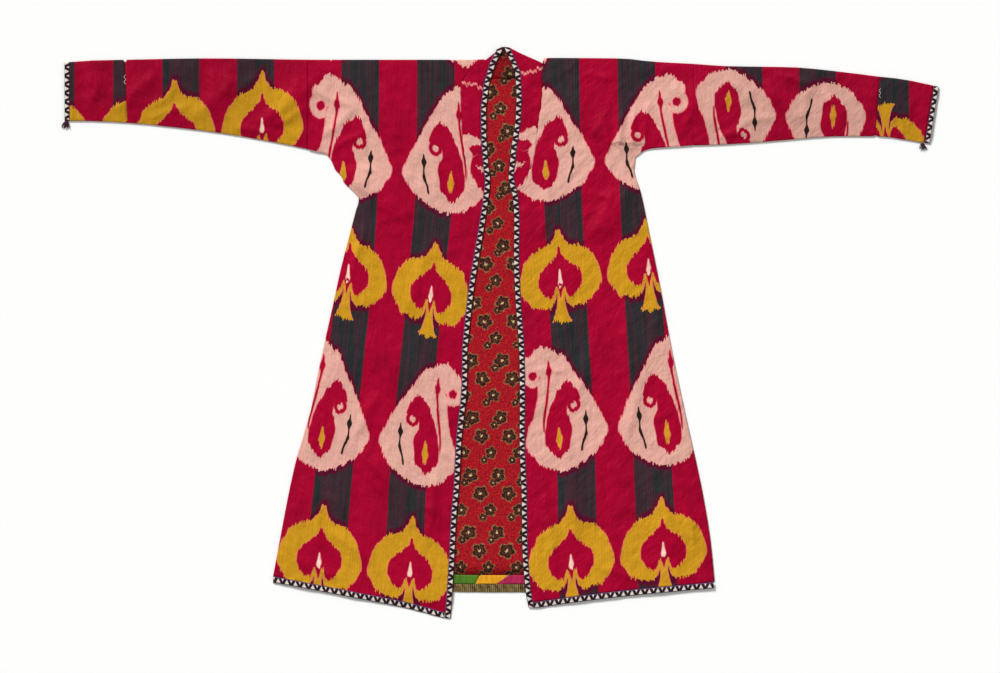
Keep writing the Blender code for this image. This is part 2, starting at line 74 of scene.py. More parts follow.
# Creases of the upper layer. Columns: start x, start drop, end x, end drop, sideways bow, half width, height
CREASES = (
    # left front
    (-345, 225, -190, 372, 8, 22, 5.0), (-340, 240, -187, 365, -6, 9, 2.2),
    (-299, 578, -222, 752, 6, 16, 4.4),
    (-323, 820, -150, 1042, 10, 20, 5.6), (-310, 850, -170, 1050, 14, 8, 2.4),
    (-436, 894, -382, 1090, 5, 18, 3.4),
    (-380, 938, -332, 1004, 3, 10, 3.2), (-262, 33, -218, 218, 4, 18, 3.0),
    (-277, 240, -190, 364, 5, 10, 3.0),
    (-305, 233, -251, 255, 2, 6, 2.4), (-180, 120, -130, 330, 10, 14, 2.0),
    (-150, 380, -215, 560, 8, 14, 2.2),
    (-330, 430, -250, 560, -8, 12, 2.4), (-210, 640, -120, 800, 6, 12, 2.2),
    (-130, 860, -180, 1100, 6, 12, 2.4),
    (-240, 900, -120, 1000, -6, 8, 1.6), (-400, 1010, -250, 1120, 6, 14, 2.6),
    (-470, 1060, -330, 1140, -6, 12, 2.0),
    (-300, 110, -410, 60, 4, 9, 2.0), (-395, 180, -300, 100, 6, 12, 2.6), (-372, 205, -280, 150, 4, 7, 1.8),
    (-250, 700, -350, 860, 6, 12, 2.0), (-170, 480, -100, 620, -5, 9, 1.6),
    (-290, 330, -330, 480, 4, 10, 1.8),
    # right front
    (297, 251, 185, 403, 8, 22, 4.8), (255, 285, 210, 303, 2, 8, 2.4), (190, 392, 255, 283, -4, 9, 2.6),
    (273, 523, 305, 785, -6, 18, 3.8), (131, 785, 164, 1090, 8, 20, 3.6), (327, 916, 392, 1115, 8, 20, 4.6),
    (131, 55, 240, 196, 5, 18, 2.6), (196, 174, 246, 102, 3, 9, 2.4), (262, 218, 268, 90, 3, 8, 3.0),
    (285, 205, 292, 92, -3, 7, 2.6), (240, 212, 232, 118, 3, 8, 2.2), (310, 190, 330, 80, 3, 10, 2.4),
    (87, 1046, 107, 1062, 1, 4, -1.6), (270, 1085, 377, 1068, 3, 5, -1.6), (61, 678, 153, 678, 3, 6, 1.6),
    (90, 420, 150, 640, 10, 14, 2.0), (220, 560, 150, 760, 8, 14, 2.0), (330, 640, 270, 860, -6, 14, 2.4),
    (200, 830, 260, 1060, -8, 14, 2.4), (90, 900, 120, 1150, 4, 12, 1.8), (380, 900, 430, 1080, 4, 12, 2.4),
    (110, 250, 80, 420, 4, 10, 1.6), (175, 33, 250, 42, 4, 8, 2.2), (330, 480, 345, 600, 3, 10, 2.4),
    (180, 1090, 330, 1130, -8, 10, 1.8),
    # left sleeve
    (-392, 33, -545, 153, 8, 20, 4.2), (-567, 22, -676, 131, 7, 18, 3.6), (-741, 17, -850, 113, 5, 14, 2.6),
    (-400, 90, -520, 150, 5, 9, 2.6), (-430, 20, -480, 120, 3, 12, 2.4), (-640, 10, -600, 140, 6, 10, 2.2),
    (-700, 30, -760, 120, 4, 12, 2.0), (-870, 20, -900, 120, 3, 10, 2.0), (-905, 15, -880, 100, 3, 8, 1.4),
    (-520, 30, -590, 70, 3, 8, 1.8), (-660, 90, -780, 130, 3, 9, 1.8), (-470, 165, -590, 140, 3, 8, 2.0),
    # right sleeve
    (375, 44, 480, 164, 7, 20, 4.2), (567, 40, 654, 153, 6, 18, 3.6), (763, 50, 811, 148, 4, 14, 2.6),
    (430, 40, 400, 160, 5, 10, 2.6), (480, 30, 560, 110, 5, 12, 2.4), (500, 150, 610, 120, 4, 10, 2.4),
    (680, 40, 640, 150, 5, 12, 2.2), (700, 60, 760, 150, 4, 9, 2.0), (850, 60, 880, 150, 3, 10, 2.0),
    (900, 70, 880, 160, 3, 8, 1.6), (590, 30, 700, 60, 3, 8, 1.8), (455, 170, 560, 160, 3, 8, 2.0),
)

# How the ikat design lies on each piece: along a thread of the weft at this drop, where the middle of the
# loom width is, how much the cloth is drawn in, its slant, and how far up the warp it is.
# Columns: drop, x of the middle, scale, slant, place along the warp
LEFT_GRAIN = (
    (0, -222, 0.985, 0.05, 1172), (43.6, -222, 0.985, 0.07, 1134), (258.0, -224.5, 0.984, 0.093, 939),
    (485.7, -240.5, 0.920, 0.23, 677), (841.0, -276.0, 0.946, 0.161, 338), (1099.2, -295.0, 1.009, 0.129, 76),
    (1240, -305, 1.01, 0.12, -62),
)
RIGHT_GRAIN = (
    (0, 214, 0.99, -0.05, 1172), (236.0, 218.0, 0.992, -0.07, 939), (461.5, 227.2, 0.982, -0.151, 677),
    (819.2, 247.0, 0.989, -0.046, 338), (1079.1, 255.5, 1.027, -0.108, 76), (1240, 262, 1.03, -0.11, -85),
)
LEFT_SLEEVE_GRAIN = (
    (-200, -614, 0.975, -0.09, 429), (135, -614, 0.975, -0.09, 94), (300, -614, 0.975, -0.09, -71),
)
LEFT_END_GRAIN = (
    (-200, -885, 1.0, -0.06, 449), (148, -885, 1.0, -0.06, 101), (300, -885, 1.0, -0.06, -51),
)
RIGHT_SLEEVE_GRAIN = (
    (-200, 611.7, 0.96, 0.135, 32), (105.8, 611.7, 0.96, 0.135, 338), (300, 611.7, 0.96, 0.135, 532),
)
RIGHT_END_GRAIN = ((-200, 930, 0.92, 0.0, 269), (115.5, 930, 0.92, 0.0, 601), (300, 930, 0.92, 0.0, 795))
LEFT_GORE_GRAIN = (
    (-40, -221, 1, 0, 790), (48, -221, 1, 0, 700), (168, -221, 1, 0, 523), (196, -221, 1, 0, 470),
    (520, -221, 1, 0, 146),
)
RIGHT_GORE_GRAIN = (
    (-40, 223, 1, 0, 762), (19.6, 223, 1, 0, 700), (153, 223, 1, 0, 523), (190, 223, 1, 0, 465),
    (520, 223, 1, 0, 135),
)

# The ikat design, drawn on half a loom width and mirrored. It is a heart-leaf above its stem and a curled
# almond (boteh) in turn, one of each in a repeat. Each edge is a curve: place along the warp, then width.
REPEAT, ALMOND_FOOT, MIRROR = 601.0, 268.0, 1149.0
HEART_AXIS, STRIPE = 98.0, (42.0, 125.0)
HEART = ((21, NO_SHAPE), (22, 34), (28, 60), (44, 74), (57, 83), (74, 90), (102, 85), (131, 74), (152, 57),
         (161, 40), (168, 22), (178, 13), (190, 6), (206, 0), (208, NO_SHAPE))
HEART_LIFT = 10.0  # the heart lies this much lower in the repeat than its rows say
HEART_ROOM = 20.0  # its rows may start this far below 0
HEART_CLEFT = ((19, 28), (33, 15), (47.5, 11), (48.5, -40), (210, -40))
STEM = ((-10, NO_SHAPE), (-9, 20), (0, 15), (15, 10), (33, 6.5), (50, 5.5), (52, NO_SHAPE))
KERNEL = ((41, NO_SHAPE), (43, 20), (47, 30), (54, 38), (61, 43), (74, 48), (87, 48), (102, 42), (113, 34),
          (124, 22), (135, 11), (146, 4), (156, 1), (158, NO_SHAPE))
KERNEL_CLEFT = ((40, 25), (46, 17), (58, 12), (66.5, 11), (68, -40), (160, -40))
KERNEL_WEDGE = ((43, NO_SHAPE), (44, 0), (67, 6), (69, NO_SHAPE))
HEART_FLAME = ((67, NO_SHAPE), (68, 0), (72, 3), (77, 4.5), (84, 3.2), (92, 1.8), (101, 0), (103, NO_SHAPE))
ALMOND_INNER = ((-2, 190), (0, 118), (5, 94), (15, 74), (28, 52), (38, 39), (58, 26), (84, 13), (108, 22),
                (137, 35), (158, 48), (182, 63), (204, 78), (233, 96), (251, 118), (260, 139), (268, 162))
ALMOND_OUTER = ((-2, 60), (0, 118), (4, 139), (17, 161), (33, 177), (48, 187), (63, 191), (78, 188),
                (92, 183), (113, 174), (140, 165), (168, 160), (194, 158), (205, 151), (215, 156),
                (221, 158), (223, 188), (232, 188), (251, 171), (262, 158), (267, 140), (270, 100))
SCROLL, SCROLL_RADII = (171.0, 205.0), (11.5, 23.0)
BOTEH_OUTER = ((25, 100), (26, 122), (33, 131), (44, 142), (63, 150), (80, 150), (96, 147), (118, 143),
               (140, 135), (157, 126), (172, 118), (182, 104), (190, 92), (192, 60))
BOTEH_INNER = ((25, 150), (26, 122), (37, 111), (48, 98), (70, 94), (92, 90), (109, 94), (122, 100),
               (135, 99), (145, 95), (147, 69), (166, 74), (179, 81), (190, 92), (192, 130))
HOOK, HOOK_RADII = (84.0, 139.0), (7.0, 15.0)
ALMOND_FLAME_AXIS = 119.0
ALMOND_FLAME = ((48, NO_SHAPE), (49, 0), (58, 3), (68, 6), (78, 4), (86, 2), (93, 0), (95, NO_SHAPE))
SPEAR_LINE = ((39, 71), (59, 67), (76, 60), (92, 59), (109, 59), (126, 58))
SPEAR = ((37, NO_SHAPE), (39, 0), (46, 2.4), (56, 2.2), (66, 2.8), (76, 3.8), (85, 2.2), (95, 1.8), (100, 3),
         (109, 6), (118, 2.5), (126, 0.5), (128, NO_SHAPE))
DART_LINE = ((80, 152), (102, 151.5), (124, 148), (146, 144), (168, 140), (190, 136), (209, 135), (231, 134))
DART = ((78, NO_SHAPE), (80, 1), (100, 2), (150, 2.5), (190, 2.5), (198, 3), (209, 6.5), (220, 3), (231, 0.5),
        (233, NO_SHAPE))
# Only on the neck strips: a crimson leaf at the tape, a pink tongue in it and a thin pale line above
LEAF = ((103, 400), (104, 179), (119, 168), (136, 159), (154.5, 156.7), (173.5, 159), (189, 168), (192, 190),
        (193, 400))
TONGUE_ROOT, TONGUE_SLANT, TONGUE_TAPER = (168.0, 158.0), -0.6, 0.35
NECK_LINE, NECK_LINE_SLANT, NECK_LINE_HALF = (136.0, 700.0), 0.36, 3.2


def curve_through(points):
    """A smooth curve through the points, which never swings past them, as a function."""
    at, value = np.array(points, float).T
    step = np.diff(at)
    slope = np.diff(value) / step
    product = slope[:-1] * slope[1:]
    total = slope[:-1] + slope[1:]
    inner = np.where(product > 0, 2 * product / np.where(product > 0, total, 1), 0)
    tangent = np.concatenate([slope[:1], inner, slope[-1:]])

    def read(where):
        where = np.clip(np.asarray(where, float), at[0], at[-1])
        k = np.clip(np.searchsorted(at, where, side="right") - 1, 0, len(step) - 1)
        t = (where - at[k]) / step[k]
        return (
            (1 + 2 * t) * (1 - t) ** 2 * value[k]
            + t * (1 - t) ** 2 * step[k] * tangent[k]
            + t * t * (3 - 2 * t) * value[k + 1]
            - t * t * (1 - t) * step[k] * tangent[k + 1]
        )

    return read


def smooth_step(t):
    t = np.clip(t, 0, 1)
    return t * t * (3 - 2 * t)


# ---- outlines, from the frame


class Outline:
    """The edges of one or more CAD nodes, seen from above."""

    def __init__(self, *names):
        found = []
        for name in names:
            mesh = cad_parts[name].data
            points = np.array([v.co for v in mesh.vertices], float) / MM
            flat = np.stack([points[:, 0] - X0, Y0 - points[:, 1]], axis=1)
            found.append(flat[np.array([e.vertices[:] for e in mesh.edges])])
        self.edges = np.concatenate(found)
        self.low, self.high = self.edges.min(axis=(0, 1)), self.edges.max(axis=(0, 1))

    def limits(self, axis, where):
        """At each x (axis 0) the lowest and the highest drop, or at each drop (axis 1) those of x."""
        start, end = self.edges[:, 0], self.edges[:, 1]
        found = []
        for value in np.clip(where, self.low[axis] + 0.05, self.high[axis] - 0.05):
            crossing = (start[:, axis] - value) * (end[:, axis] - value) <= 0
            p, q = start[crossing], end[crossing]
            span = q[:, axis] - p[:, axis]
            level = abs(span) < 1e-6
            t = np.where(level, 0, (value - p[:, axis]) / np.where(level, 1, span))
            other = p[:, 1 - axis] + t * (q - p)[:, 1 - axis]
            found.append((other.min(), other.max()))
        return np.array(found).T


def line_of(outline, axis, end, start_trim=0.0, end_trim=0.0, spacing=4.0):
    """One edge of an outline as a function, which runs straight on past the outline's ends."""
    where = np.arange(outline.low[axis] + start_trim, outline.high[axis] - end_trim, spacing)
    value = outline.limits(axis, where)[end]

    def read(at):
        at = np.asarray(at, float)
        before = np.minimum(at - where[0], 0) * (value[6] - value[0]) / (where[6] - where[0])
        after = np.maximum(at - where[-1], 0) * (value[-1] - value[-7]) / (where[-1] - where[-7])
        return np.interp(at, where, value) + before + after

    return read


# ---- heights of the cloth


def ripples(x, drop, seed, shortest, longest):
    """Shallow waves that cross each other, for the most part between -1 and 1."""
    count = 14
    draw = np.random.default_rng(seed)
    total = np.zeros(np.broadcast(x, drop).shape)
    for _ in range(count):
        heading, phase = draw.uniform(0, math.pi), draw.uniform(0, 2 * math.pi)
        number = 2 * math.pi / draw.uniform(shortest, longest)
        bend = 14 * np.sin((x * math.sin(heading) - drop * math.cos(heading)) / 130 + phase)
        total = total + np.sin(number * (x * math.cos(heading) + drop * math.sin(heading) + bend) + phase)
    return total / math.sqrt(count) / 1.6


def crease_height(x, drop):
    """The creases and the gentle waves of the upper layer."""
    height = np.zeros(np.broadcast(x, drop).shape)
    for start_x, start_drop, end_x, end_drop, bow, half_width, lift in CREASES:
        run = np.array([end_x - start_x, end_drop - start_drop], float)
        length = np.hypot(*run)
        along = ((x - start_x) * run[0] + (drop - start_drop) * run[1]) / length**2
        aside = ((x - start_x) * run[1] - (drop - start_drop) * run[0]) / length
        aside = aside - bow * np.sin(math.pi * np.clip(along, 0, 1)) - 2.5 * np.sin(along * 9 + start_x)
        width = half_width * (0.75 + 0.5 * np.sin(math.pi * np.clip(along, 0, 1)))
        ridge = np.exp(-1.6 * (np.abs(aside) / width) ** 1.5)
        ends = smooth_step(along * 3.0) * smooth_step((1 - along) * 3.0)
        height = height + CREASE_GAIN * lift * ridge * ends
    waves = 1.0 * ripples(x, drop, 3, 55, 150) + 0.55 * ripples(x, drop, 8, 22, 50)
    return HIGHEST_CREASE * np.tanh(height / HIGHEST_CREASE) + CLOTH_RISE + waves


def seam_puckers(distance, along, seed):
    """Little gathers beside a seam, which fade out over a finger's width."""
    waves = np.sin(along / 4.1 + seed) + np.sin(along / 6.7 + 2 * seed) + np.sin(along / 10.3 + 3 * seed)
    return 0.28 * (waves - 0.8) * np.exp(-((distance / 13.0) ** 1.5))


back_edge = line_of(Outline("hem_binding_back"), 0, 1)


def upper_level(x, drop):
    """The underside of the upper layer without its creases. Past the back hem it comes down to the table."""
    fall = smooth_step((drop - back_edge(x) - 12) / 32)
    return FRONT_LEVEL * (1 - fall)


def upper_height(x, drop):
    return upper_level(x, drop) + SHELL / 2 + np.maximum(crease_height(x, drop), -0.3)


def grain(rows, x, drop):
    """Where a point of the cloth lies in the ikat design: across from the middle of the loom width, and up
    along the warp, both in metres, as UVs keep their figures best near 1."""
    table = np.array(rows, float)
    middle, scale, slant, warp = (curve_through(table[:, [0, k]]) for k in (1, 2, 3, 4))
    at = np.array(drop, float)
    for _ in range(6):  # each round comes nearer to the weft thread that the point lies on
        at = drop - slant(at) * (x - middle(at))
    beyond = np.minimum(at - table[0, 0], 0) + np.maximum(at - table[-1, 0], 0)
    across = (x - middle(at)) / scale(at)
    return np.stack([across, warp(at) - beyond], axis=-1) * MM


# ---- making meshes


def in_row_frame(points):
    points = np.asarray(points, float)
    return np.stack([points[..., 0] + X0, Y0 - points[..., 1], points[..., 2]], axis=-1) * MM


def place(name, mesh, material):
    """Puts a mesh in the scene as a piece of the robe, which is all one body."""
    mesh.materials.append(material)
    mesh.shade_smooth()
    piece = bpy.data.objects.new(name, mesh)
    bpy.context.scene.collection.objects.link(piece)
    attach(piece, "root")
    return piece


def cloth(name, grids, material, nodes, thickness=SHELL, ring=False):
    """A piece of cloth from grids of points (rows, columns, x drop z) with their UVs. A ring closes each row
    on itself, and then its UVs have one column more. The piece's flat size is measured on its grids."""
    points, faces, corners = [], [], []
    area, wide, long = 0.0, 0.0, 0.0
    for grid, uv in grids:
        grid = np.asarray(grid, float)
        rows, columns = grid.shape[:2]
        start = sum(len(p) for p in points)
        points.append(in_row_frame(grid).reshape(-1, 3))
        r, c = np.meshgrid(np.arange(rows - 1), np.arange(columns if ring else columns - 1), indexing="ij")
        r, c = r.ravel(), c.ravel()
        quads = [(r, c), (r + 1, c), (r + 1, c + 1), (r, c + 1)]
        faces.append(start + np.stack([row * columns + column % columns for row, column in quads], axis=1))
        corners.append(np.stack([uv[row, column] for row, column in quads], axis=1).reshape(-1, 2))
        whole = np.concatenate([grid, grid[:, :1]], axis=1) if ring else grid
        across = np.linalg.norm(np.diff(whole, axis=1), axis=2)
        down = np.linalg.norm(np.diff(whole, axis=0), axis=2)
        area += float((0.5 * (across[1:] + across[:-1]) * 0.5 * (down[:, 1:] + down[:, :-1])).sum()) * MM * MM
        wide = max(wide, float(across.sum(axis=1).max()) * MM)
        long += float(down.sum(axis=0).max()) * MM
    mesh = bpy.data.meshes.new(name)
    mesh.from_pydata(np.concatenate(points).tolist(), [], np.concatenate(faces).tolist())
    layer = mesh.uv_layers.new(name="Cloth")
    layer.data.foreach_set("uv", np.concatenate(corners).astype(np.float32).ravel())
    piece = place(name, mesh, material)
    wall = piece.modifiers.new("cloth", "SOLIDIFY")
    wall.thickness = thickness * MM
    wall.offset = 0.0
    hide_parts(*nodes)


def strand(path, radius, sides=5, taper=1.0):
    """Points and faces of a thread along a path of x, drop and z. Its end is taper times as thick as its
    start."""
    path = np.asarray(path, float)
    run = np.gradient(path, axis=0)
    run = run / np.linalg.norm(run, axis=1, keepdims=True)
    up = np.tile([0.0, 0.0, 1.0], (len(path), 1))
    side = np.cross(run, up)
    flat = np.linalg.norm(side, axis=1) < 0.1
    side[flat] = [1.0, 0.0, 0.0]
    side = side / np.linalg.norm(side, axis=1, keepdims=True)
    over = np.cross(side, run)
    turns = np.linspace(0, 2 * math.pi, sides, endpoint=False)
    size = radius * np.linspace(1, taper, len(path))[:, None, None]
    ring = np.cos(turns)[None, :, None] * side[:, None] + np.sin(turns)[None, :, None] * over[:, None]
    points = (path[:, None] + size * ring).reshape(-1, 3)
    faces = []
    for k in range(len(path) - 1):
        for s in range(sides):
            after = (s + 1) % sides
            faces.append((k * sides + s, (k + 1) * sides + s, (k + 1) * sides + after, k * sides + after))
    faces.append(tuple(range(sides)))
    faces.append(tuple(reversed(range((len(path) - 1) * sides, len(path) * sides))))
    return points, faces


def threads(name, strands, material, nodes=()):
    """Many threads joined in one mesh."""
    points, faces, start = [], [], 0
    for some, around in strands:
        points.append(some)
        faces.extend([tuple(start + k for k in face) for face in around])
        start += len(some)
    mesh = bpy.data.meshes.new(name)
    mesh.from_pydata(in_row_frame(np.concatenate(points)).tolist(), [], faces)
    piece = place(name, mesh, material)
    if nodes:
        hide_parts(*nodes)


# ---- materials


def linear(code):
    """An sRGB hex colour as linear light."""
    levels = np.array([int(code[i : i + 2], 16) for i in (0, 2, 4)]) / 255
    return (*np.where(levels <= 0.04045, levels / 12.92, ((levels + 0.055) / 1.055) ** 2.4).tolist(), 1.0)


def add(tree, kind, *inputs, out=0, **settings):
    """Adds a node. kind is its type, with any operation after a space, and for a Math node just the
    operation. Each input is a number, a colour or a socket, in the node's order. None leaves one alone."""
    kind, _, operation = ("Math " + kind if kind.isupper() else kind).partition(" ")
    node = tree.nodes.new("ShaderNode" + kind)
    if operation:
        setattr(node, "blend_type" if kind == "MixRGB" else "operation", operation)
    for name, value in settings.items():
        setattr(node, name, value)
    for socket, value in zip(node.inputs, inputs):
        if isinstance(value, bpy.types.NodeSocket):
            tree.links.new(value, socket)
        elif value is not None:
            socket.default_value = value
    return node if out is None else node.outputs[out]


def new_material(name, roughness, sheen=0.0, specular=0.4):
    material = bpy.data.materials.new(name)
    material.use_nodes = True
    tree = material.node_tree
    shader = tree.nodes["Principled BSDF"]
    shader.inputs["Roughness"].default_value = roughness
    shader.inputs["Sheen Weight"].default_value = sheen
    shader.inputs["Sheen Roughness"].default_value = 0.4
    shader.inputs["Specular IOR Level"].default_value = specular
    return material, tree, shader


def cloth_place(tree):
    """Across and along the piece, in millimetres."""
    uv = add(tree, "UVMap", uv_map="Cloth")
    parts = add(tree, "SeparateXYZ", add(tree, "VectorMath MULTIPLY", uv, (1000, 1000, 0)), out=None)
    return parts.outputs[0], parts.outputs[1]


def drawn_edge(tree, along, rows, smooth=True):
    """A drawn edge: reads a short table of place and width (both mm) at the place given."""
    lowest, span = rows[0][0], rows[-1][0] - rows[0][0]
    reach, depth = 260.0, 60.0
    share = add(tree, "MapRange", along, lowest, lowest + span)
    node = add(tree, "FloatCurve", 1.0, share, out=None)
    curve = node.mapping.curves[0]
    values = [((at - lowest) / span, (width + depth) / reach) for at, width in rows]
    curve.points[0].location, curve.points[1].location = values[0], values[-1]
    for value in values[1:-1]:
        curve.points.new(*value)
    for point in curve.points:
        point.handle_type = "AUTO_CLAMPED" if smooth else "VECTOR"
    node.mapping.update()
    return add(tree, "MULTIPLY_ADD", node.outputs[0], reach, -depth)


def between(tree, across, low, high):
    """How far inside a band a point lies: more than 0 inside."""
    above_low = add(tree, "SUBTRACT", across, low)
    return add(tree, "MINIMUM", above_low, add(tree, "SUBTRACT", high, across))


def about(tree, across, middle, half):
    """How far inside a shape that is the same to both sides of a line."""
    away = add(tree, "ABSOLUTE", add(tree, "SUBTRACT", across, middle))
    return add(tree, "SUBTRACT", half, away)


def ring_at(tree, across, along, centre, radii):
    """How far inside a ring a point lies."""
    aside = add(tree, "POWER", add(tree, "SUBTRACT", across, centre[0]), 2.0)
    above = add(tree, "POWER", add(tree, "SUBTRACT", along, centre[1]), 2.0)
    radius = add(tree, "SQRT", add(tree, "ADD", aside, above))
    return between(tree, radius, radii[0], radii[1])


def covers(tree, field, soft=1.6, grow=0.0):
    """Turns a distance inside a shape into cover from 0 to 1, with a soft edge."""
    return add(tree, "MapRange", field, -grow - soft / 2, -grow + soft / 2)


def widened(rows, by, sign=1.0):
    """A drawn edge moved out by some millimetres on all sides, as a new table."""
    at, width = np.array(rows, float).T
    fine = np.arange(at[0] - by - 2, at[-1] + by + 2.01, 1.0)
    read = np.where((fine < at[0]) | (fine > at[-1]), -400.0, sign * np.interp(fine, at, width))
    best = np.full(len(fine), -400.0)
    for shift in range(-int(by), int(by) + 1):
        moved = np.roll(read, shift) + math.sqrt(by * by - shift * shift)
        best = np.maximum(best, moved)
    best = np.clip(sign * best, -55.0, 195.0)
    keep = np.unique(np.r_[0, np.arange(2, len(fine) - 1, 6), len(fine) - 1])
    return [(fine[k], best[k]) for k in keep]


def noise(tree, across, along, fine_across, fine_along, detail=2.0, seed=0.0):
    """Uneven patches. The two sizes are how long a patch is across and along the cloth, in mm."""
    where = add(
        tree, "CombineXYZ",
        add(tree, "MULTIPLY", across, 1 / fine_across),
        add(tree, "MULTIPLY", along, 1 / fine_along),
        seed,
    )
    return add(tree, "TexNoise", where, None, 1.0, detail, 0.6)


def blot(tree, below, cover, colour):
    return add(tree, "MixRGB MIX", cover, below, colour)


# The dyes. A fringe is where a dye has bled, and the halo is where two have met, on the dark stripes only.
IKAT = {
    name: linear(code)
    for name, code in (
        ("crimson", "A2002B"), ("crimson_deep", "7A001F"), ("crimson_pale", "AE0632"),
        ("stripe_a", "3A2A30"), ("stripe_b", "1C2E2E"), ("stripe_c", "4E2430"), ("stripe_d", "17191A"),
        ("gold", "C48E18"), ("gold_pale", "D6A232"), ("pink", "DFA198"), ("beige", "CFA78C"),
        ("fringe_gold", "DC7C4C"), ("fringe_pink", "E58684"), ("halo", "560826"), ("spear", "261A14"),
        ("white", "EECBB8"), ("stain", "54261A"),
    )
}
# Bundles of warp slip against each other. Columns: width of a bundle, how far it slips, seed
WARP_BUNDLES = ((2.2, 7.0, 3.0), (4.4, 4.0, 11.0), (9.5, 4.5, 17.0))
BUNDLE_RUN, BUNDLE_SEED = 110.0, 7.31  # a bundle keeps its slip over this length
CALMER = -0.6  # the smallest shapes slip less, by this share
HALO = 13  # width of the halo
DYE_EDGE, FINE_EDGE = 1.4, 1.2  # width of the soft edge between two dyes
DIAGONAL = 700.0  # turns metres into millimetres along a diagonal, nearly 1000 times the cosine of 45 degrees
STAIN_PLACE, STAIN_REACH = (117.7, 1063.8, 2.0), (0.004, 0.009)


def warp_slips(tree, across, along):
    """How far each bundle of warp has slipped along the cloth."""
    slips = 0.0
    for width, slip, seed in WARP_BUNDLES:
        bundle = add(tree, "FLOOR", add(tree, "DIVIDE", across, width))
        row = add(tree, "FLOOR", add(tree, "DIVIDE", along, BUNDLE_RUN))
        turn = add(tree, "MULTIPLY_ADD", row, BUNDLE_SEED, add(tree, "ADD", bundle, seed))
        random = add(tree, "TexWhiteNoise", None, turn, noise_dimensions="1D")
        slips = add(tree, "ADD", slips, add(tree, "MULTIPLY_ADD", random, slip, -slip / 2))
    return slips


def heart_leaf(tree, folded, half):
    """How far a point lies inside the heart with its stem, its kernel, its flame and its halo."""
    above_room = add(tree, "ADD", folded, HEART_LIFT + HEART_ROOM)
    up = add(tree, "SUBTRACT", add(tree, "FLOORED_MODULO", above_room, REPEAT), HEART_ROOM)
    aside = add(tree, "ABSOLUTE", add(tree, "SUBTRACT", half, HEART_AXIS))
    lobes = between(tree, aside, drawn_edge(tree, up, HEART_CLEFT, False), drawn_edge(tree, up, HEART))
    stem = add(tree, "SUBTRACT", drawn_edge(tree, up, STEM), aside)
    kernel = between(tree, aside, drawn_edge(tree, up, KERNEL_CLEFT, False), drawn_edge(tree, up, KERNEL))
    wedge = add(tree, "SUBTRACT", drawn_edge(tree, up, KERNEL_WEDGE, False), aside)
    flame = add(tree, "SUBTRACT", drawn_edge(tree, up, HEART_FLAME), aside)
    halo = add(tree, "SUBTRACT", drawn_edge(tree, up, widened(HEART, HALO)), aside)
    return add(tree, "MAXIMUM", lobes, stem), add(tree, "MAXIMUM", kernel, wedge), flame, halo


def almond_body(tree, up, half):
    return between(tree, half, drawn_edge(tree, up, ALMOND_INNER), drawn_edge(tree, up, ALMOND_OUTER))


def curled_almond(tree, up, slips, half):
    """How far a point lies inside the almond with its scroll, the small almond in it, the flame, the spear
    and the halo."""
    calm = add(tree, "MULTIPLY_ADD", slips, CALMER, up)
    scroll = ring_at(tree, half, calm, SCROLL, SCROLL_RADII)
    mouth = add(tree, "MAXIMUM", add(tree, "SUBTRACT", half, SCROLL[0] - SCROLL_RADII[0]),
                add(tree, "SUBTRACT", up, SCROLL[1]))
    almond = add(tree, "MAXIMUM", almond_body(tree, up, half), add(tree, "MINIMUM", scroll, mouth))
    boteh = between(tree, half, drawn_edge(tree, up, BOTEH_INNER), drawn_edge(tree, up, BOTEH_OUTER))
    boteh = add(tree, "MAXIMUM", boteh, ring_at(tree, half, calm, HOOK, HOOK_RADII))
    dart = about(tree, half, drawn_edge(tree, up, DART_LINE), drawn_edge(tree, up, DART))
    boteh = add(tree, "MAXIMUM", boteh, dart)
    flame = about(tree, half, ALMOND_FLAME_AXIS, drawn_edge(tree, up, ALMOND_FLAME))
    spear = about(tree, half, drawn_edge(tree, calm, SPEAR_LINE), drawn_edge(tree, calm, SPEAR))
    halo = between(tree, half, drawn_edge(tree, up, widened(ALMOND_INNER, HALO, -1.0)),
                   drawn_edge(tree, up, widened(ALMOND_OUTER, HALO)))
    return almond, boteh, flame, spear, halo


def neck_shapes(tree, up, slipped, half):
    """How far a point lies inside the leaf, its tongue and the thin line of the neck strips."""
    leaf = add(tree, "SUBTRACT", half, drawn_edge(tree, up, LEAF))
    root, height = TONGUE_ROOT
    middle = add(tree, "MULTIPLY_ADD", half, TONGUE_SLANT, height - TONGUE_SLANT * root)
    taper = add(tree, "MULTIPLY_ADD", half, TONGUE_TAPER, TONGUE_TAPER * (1 - root))
    tongue = about(tree, up, middle, taper)
    slope = add(tree, "MULTIPLY_ADD", half, NECK_LINE_SLANT, -NECK_LINE_SLANT * NECK_LINE[0])
    line = about(tree, add(tree, "ADD", slipped, slope), NECK_LINE[1], NECK_LINE_HALF)
    return leaf, tongue, line


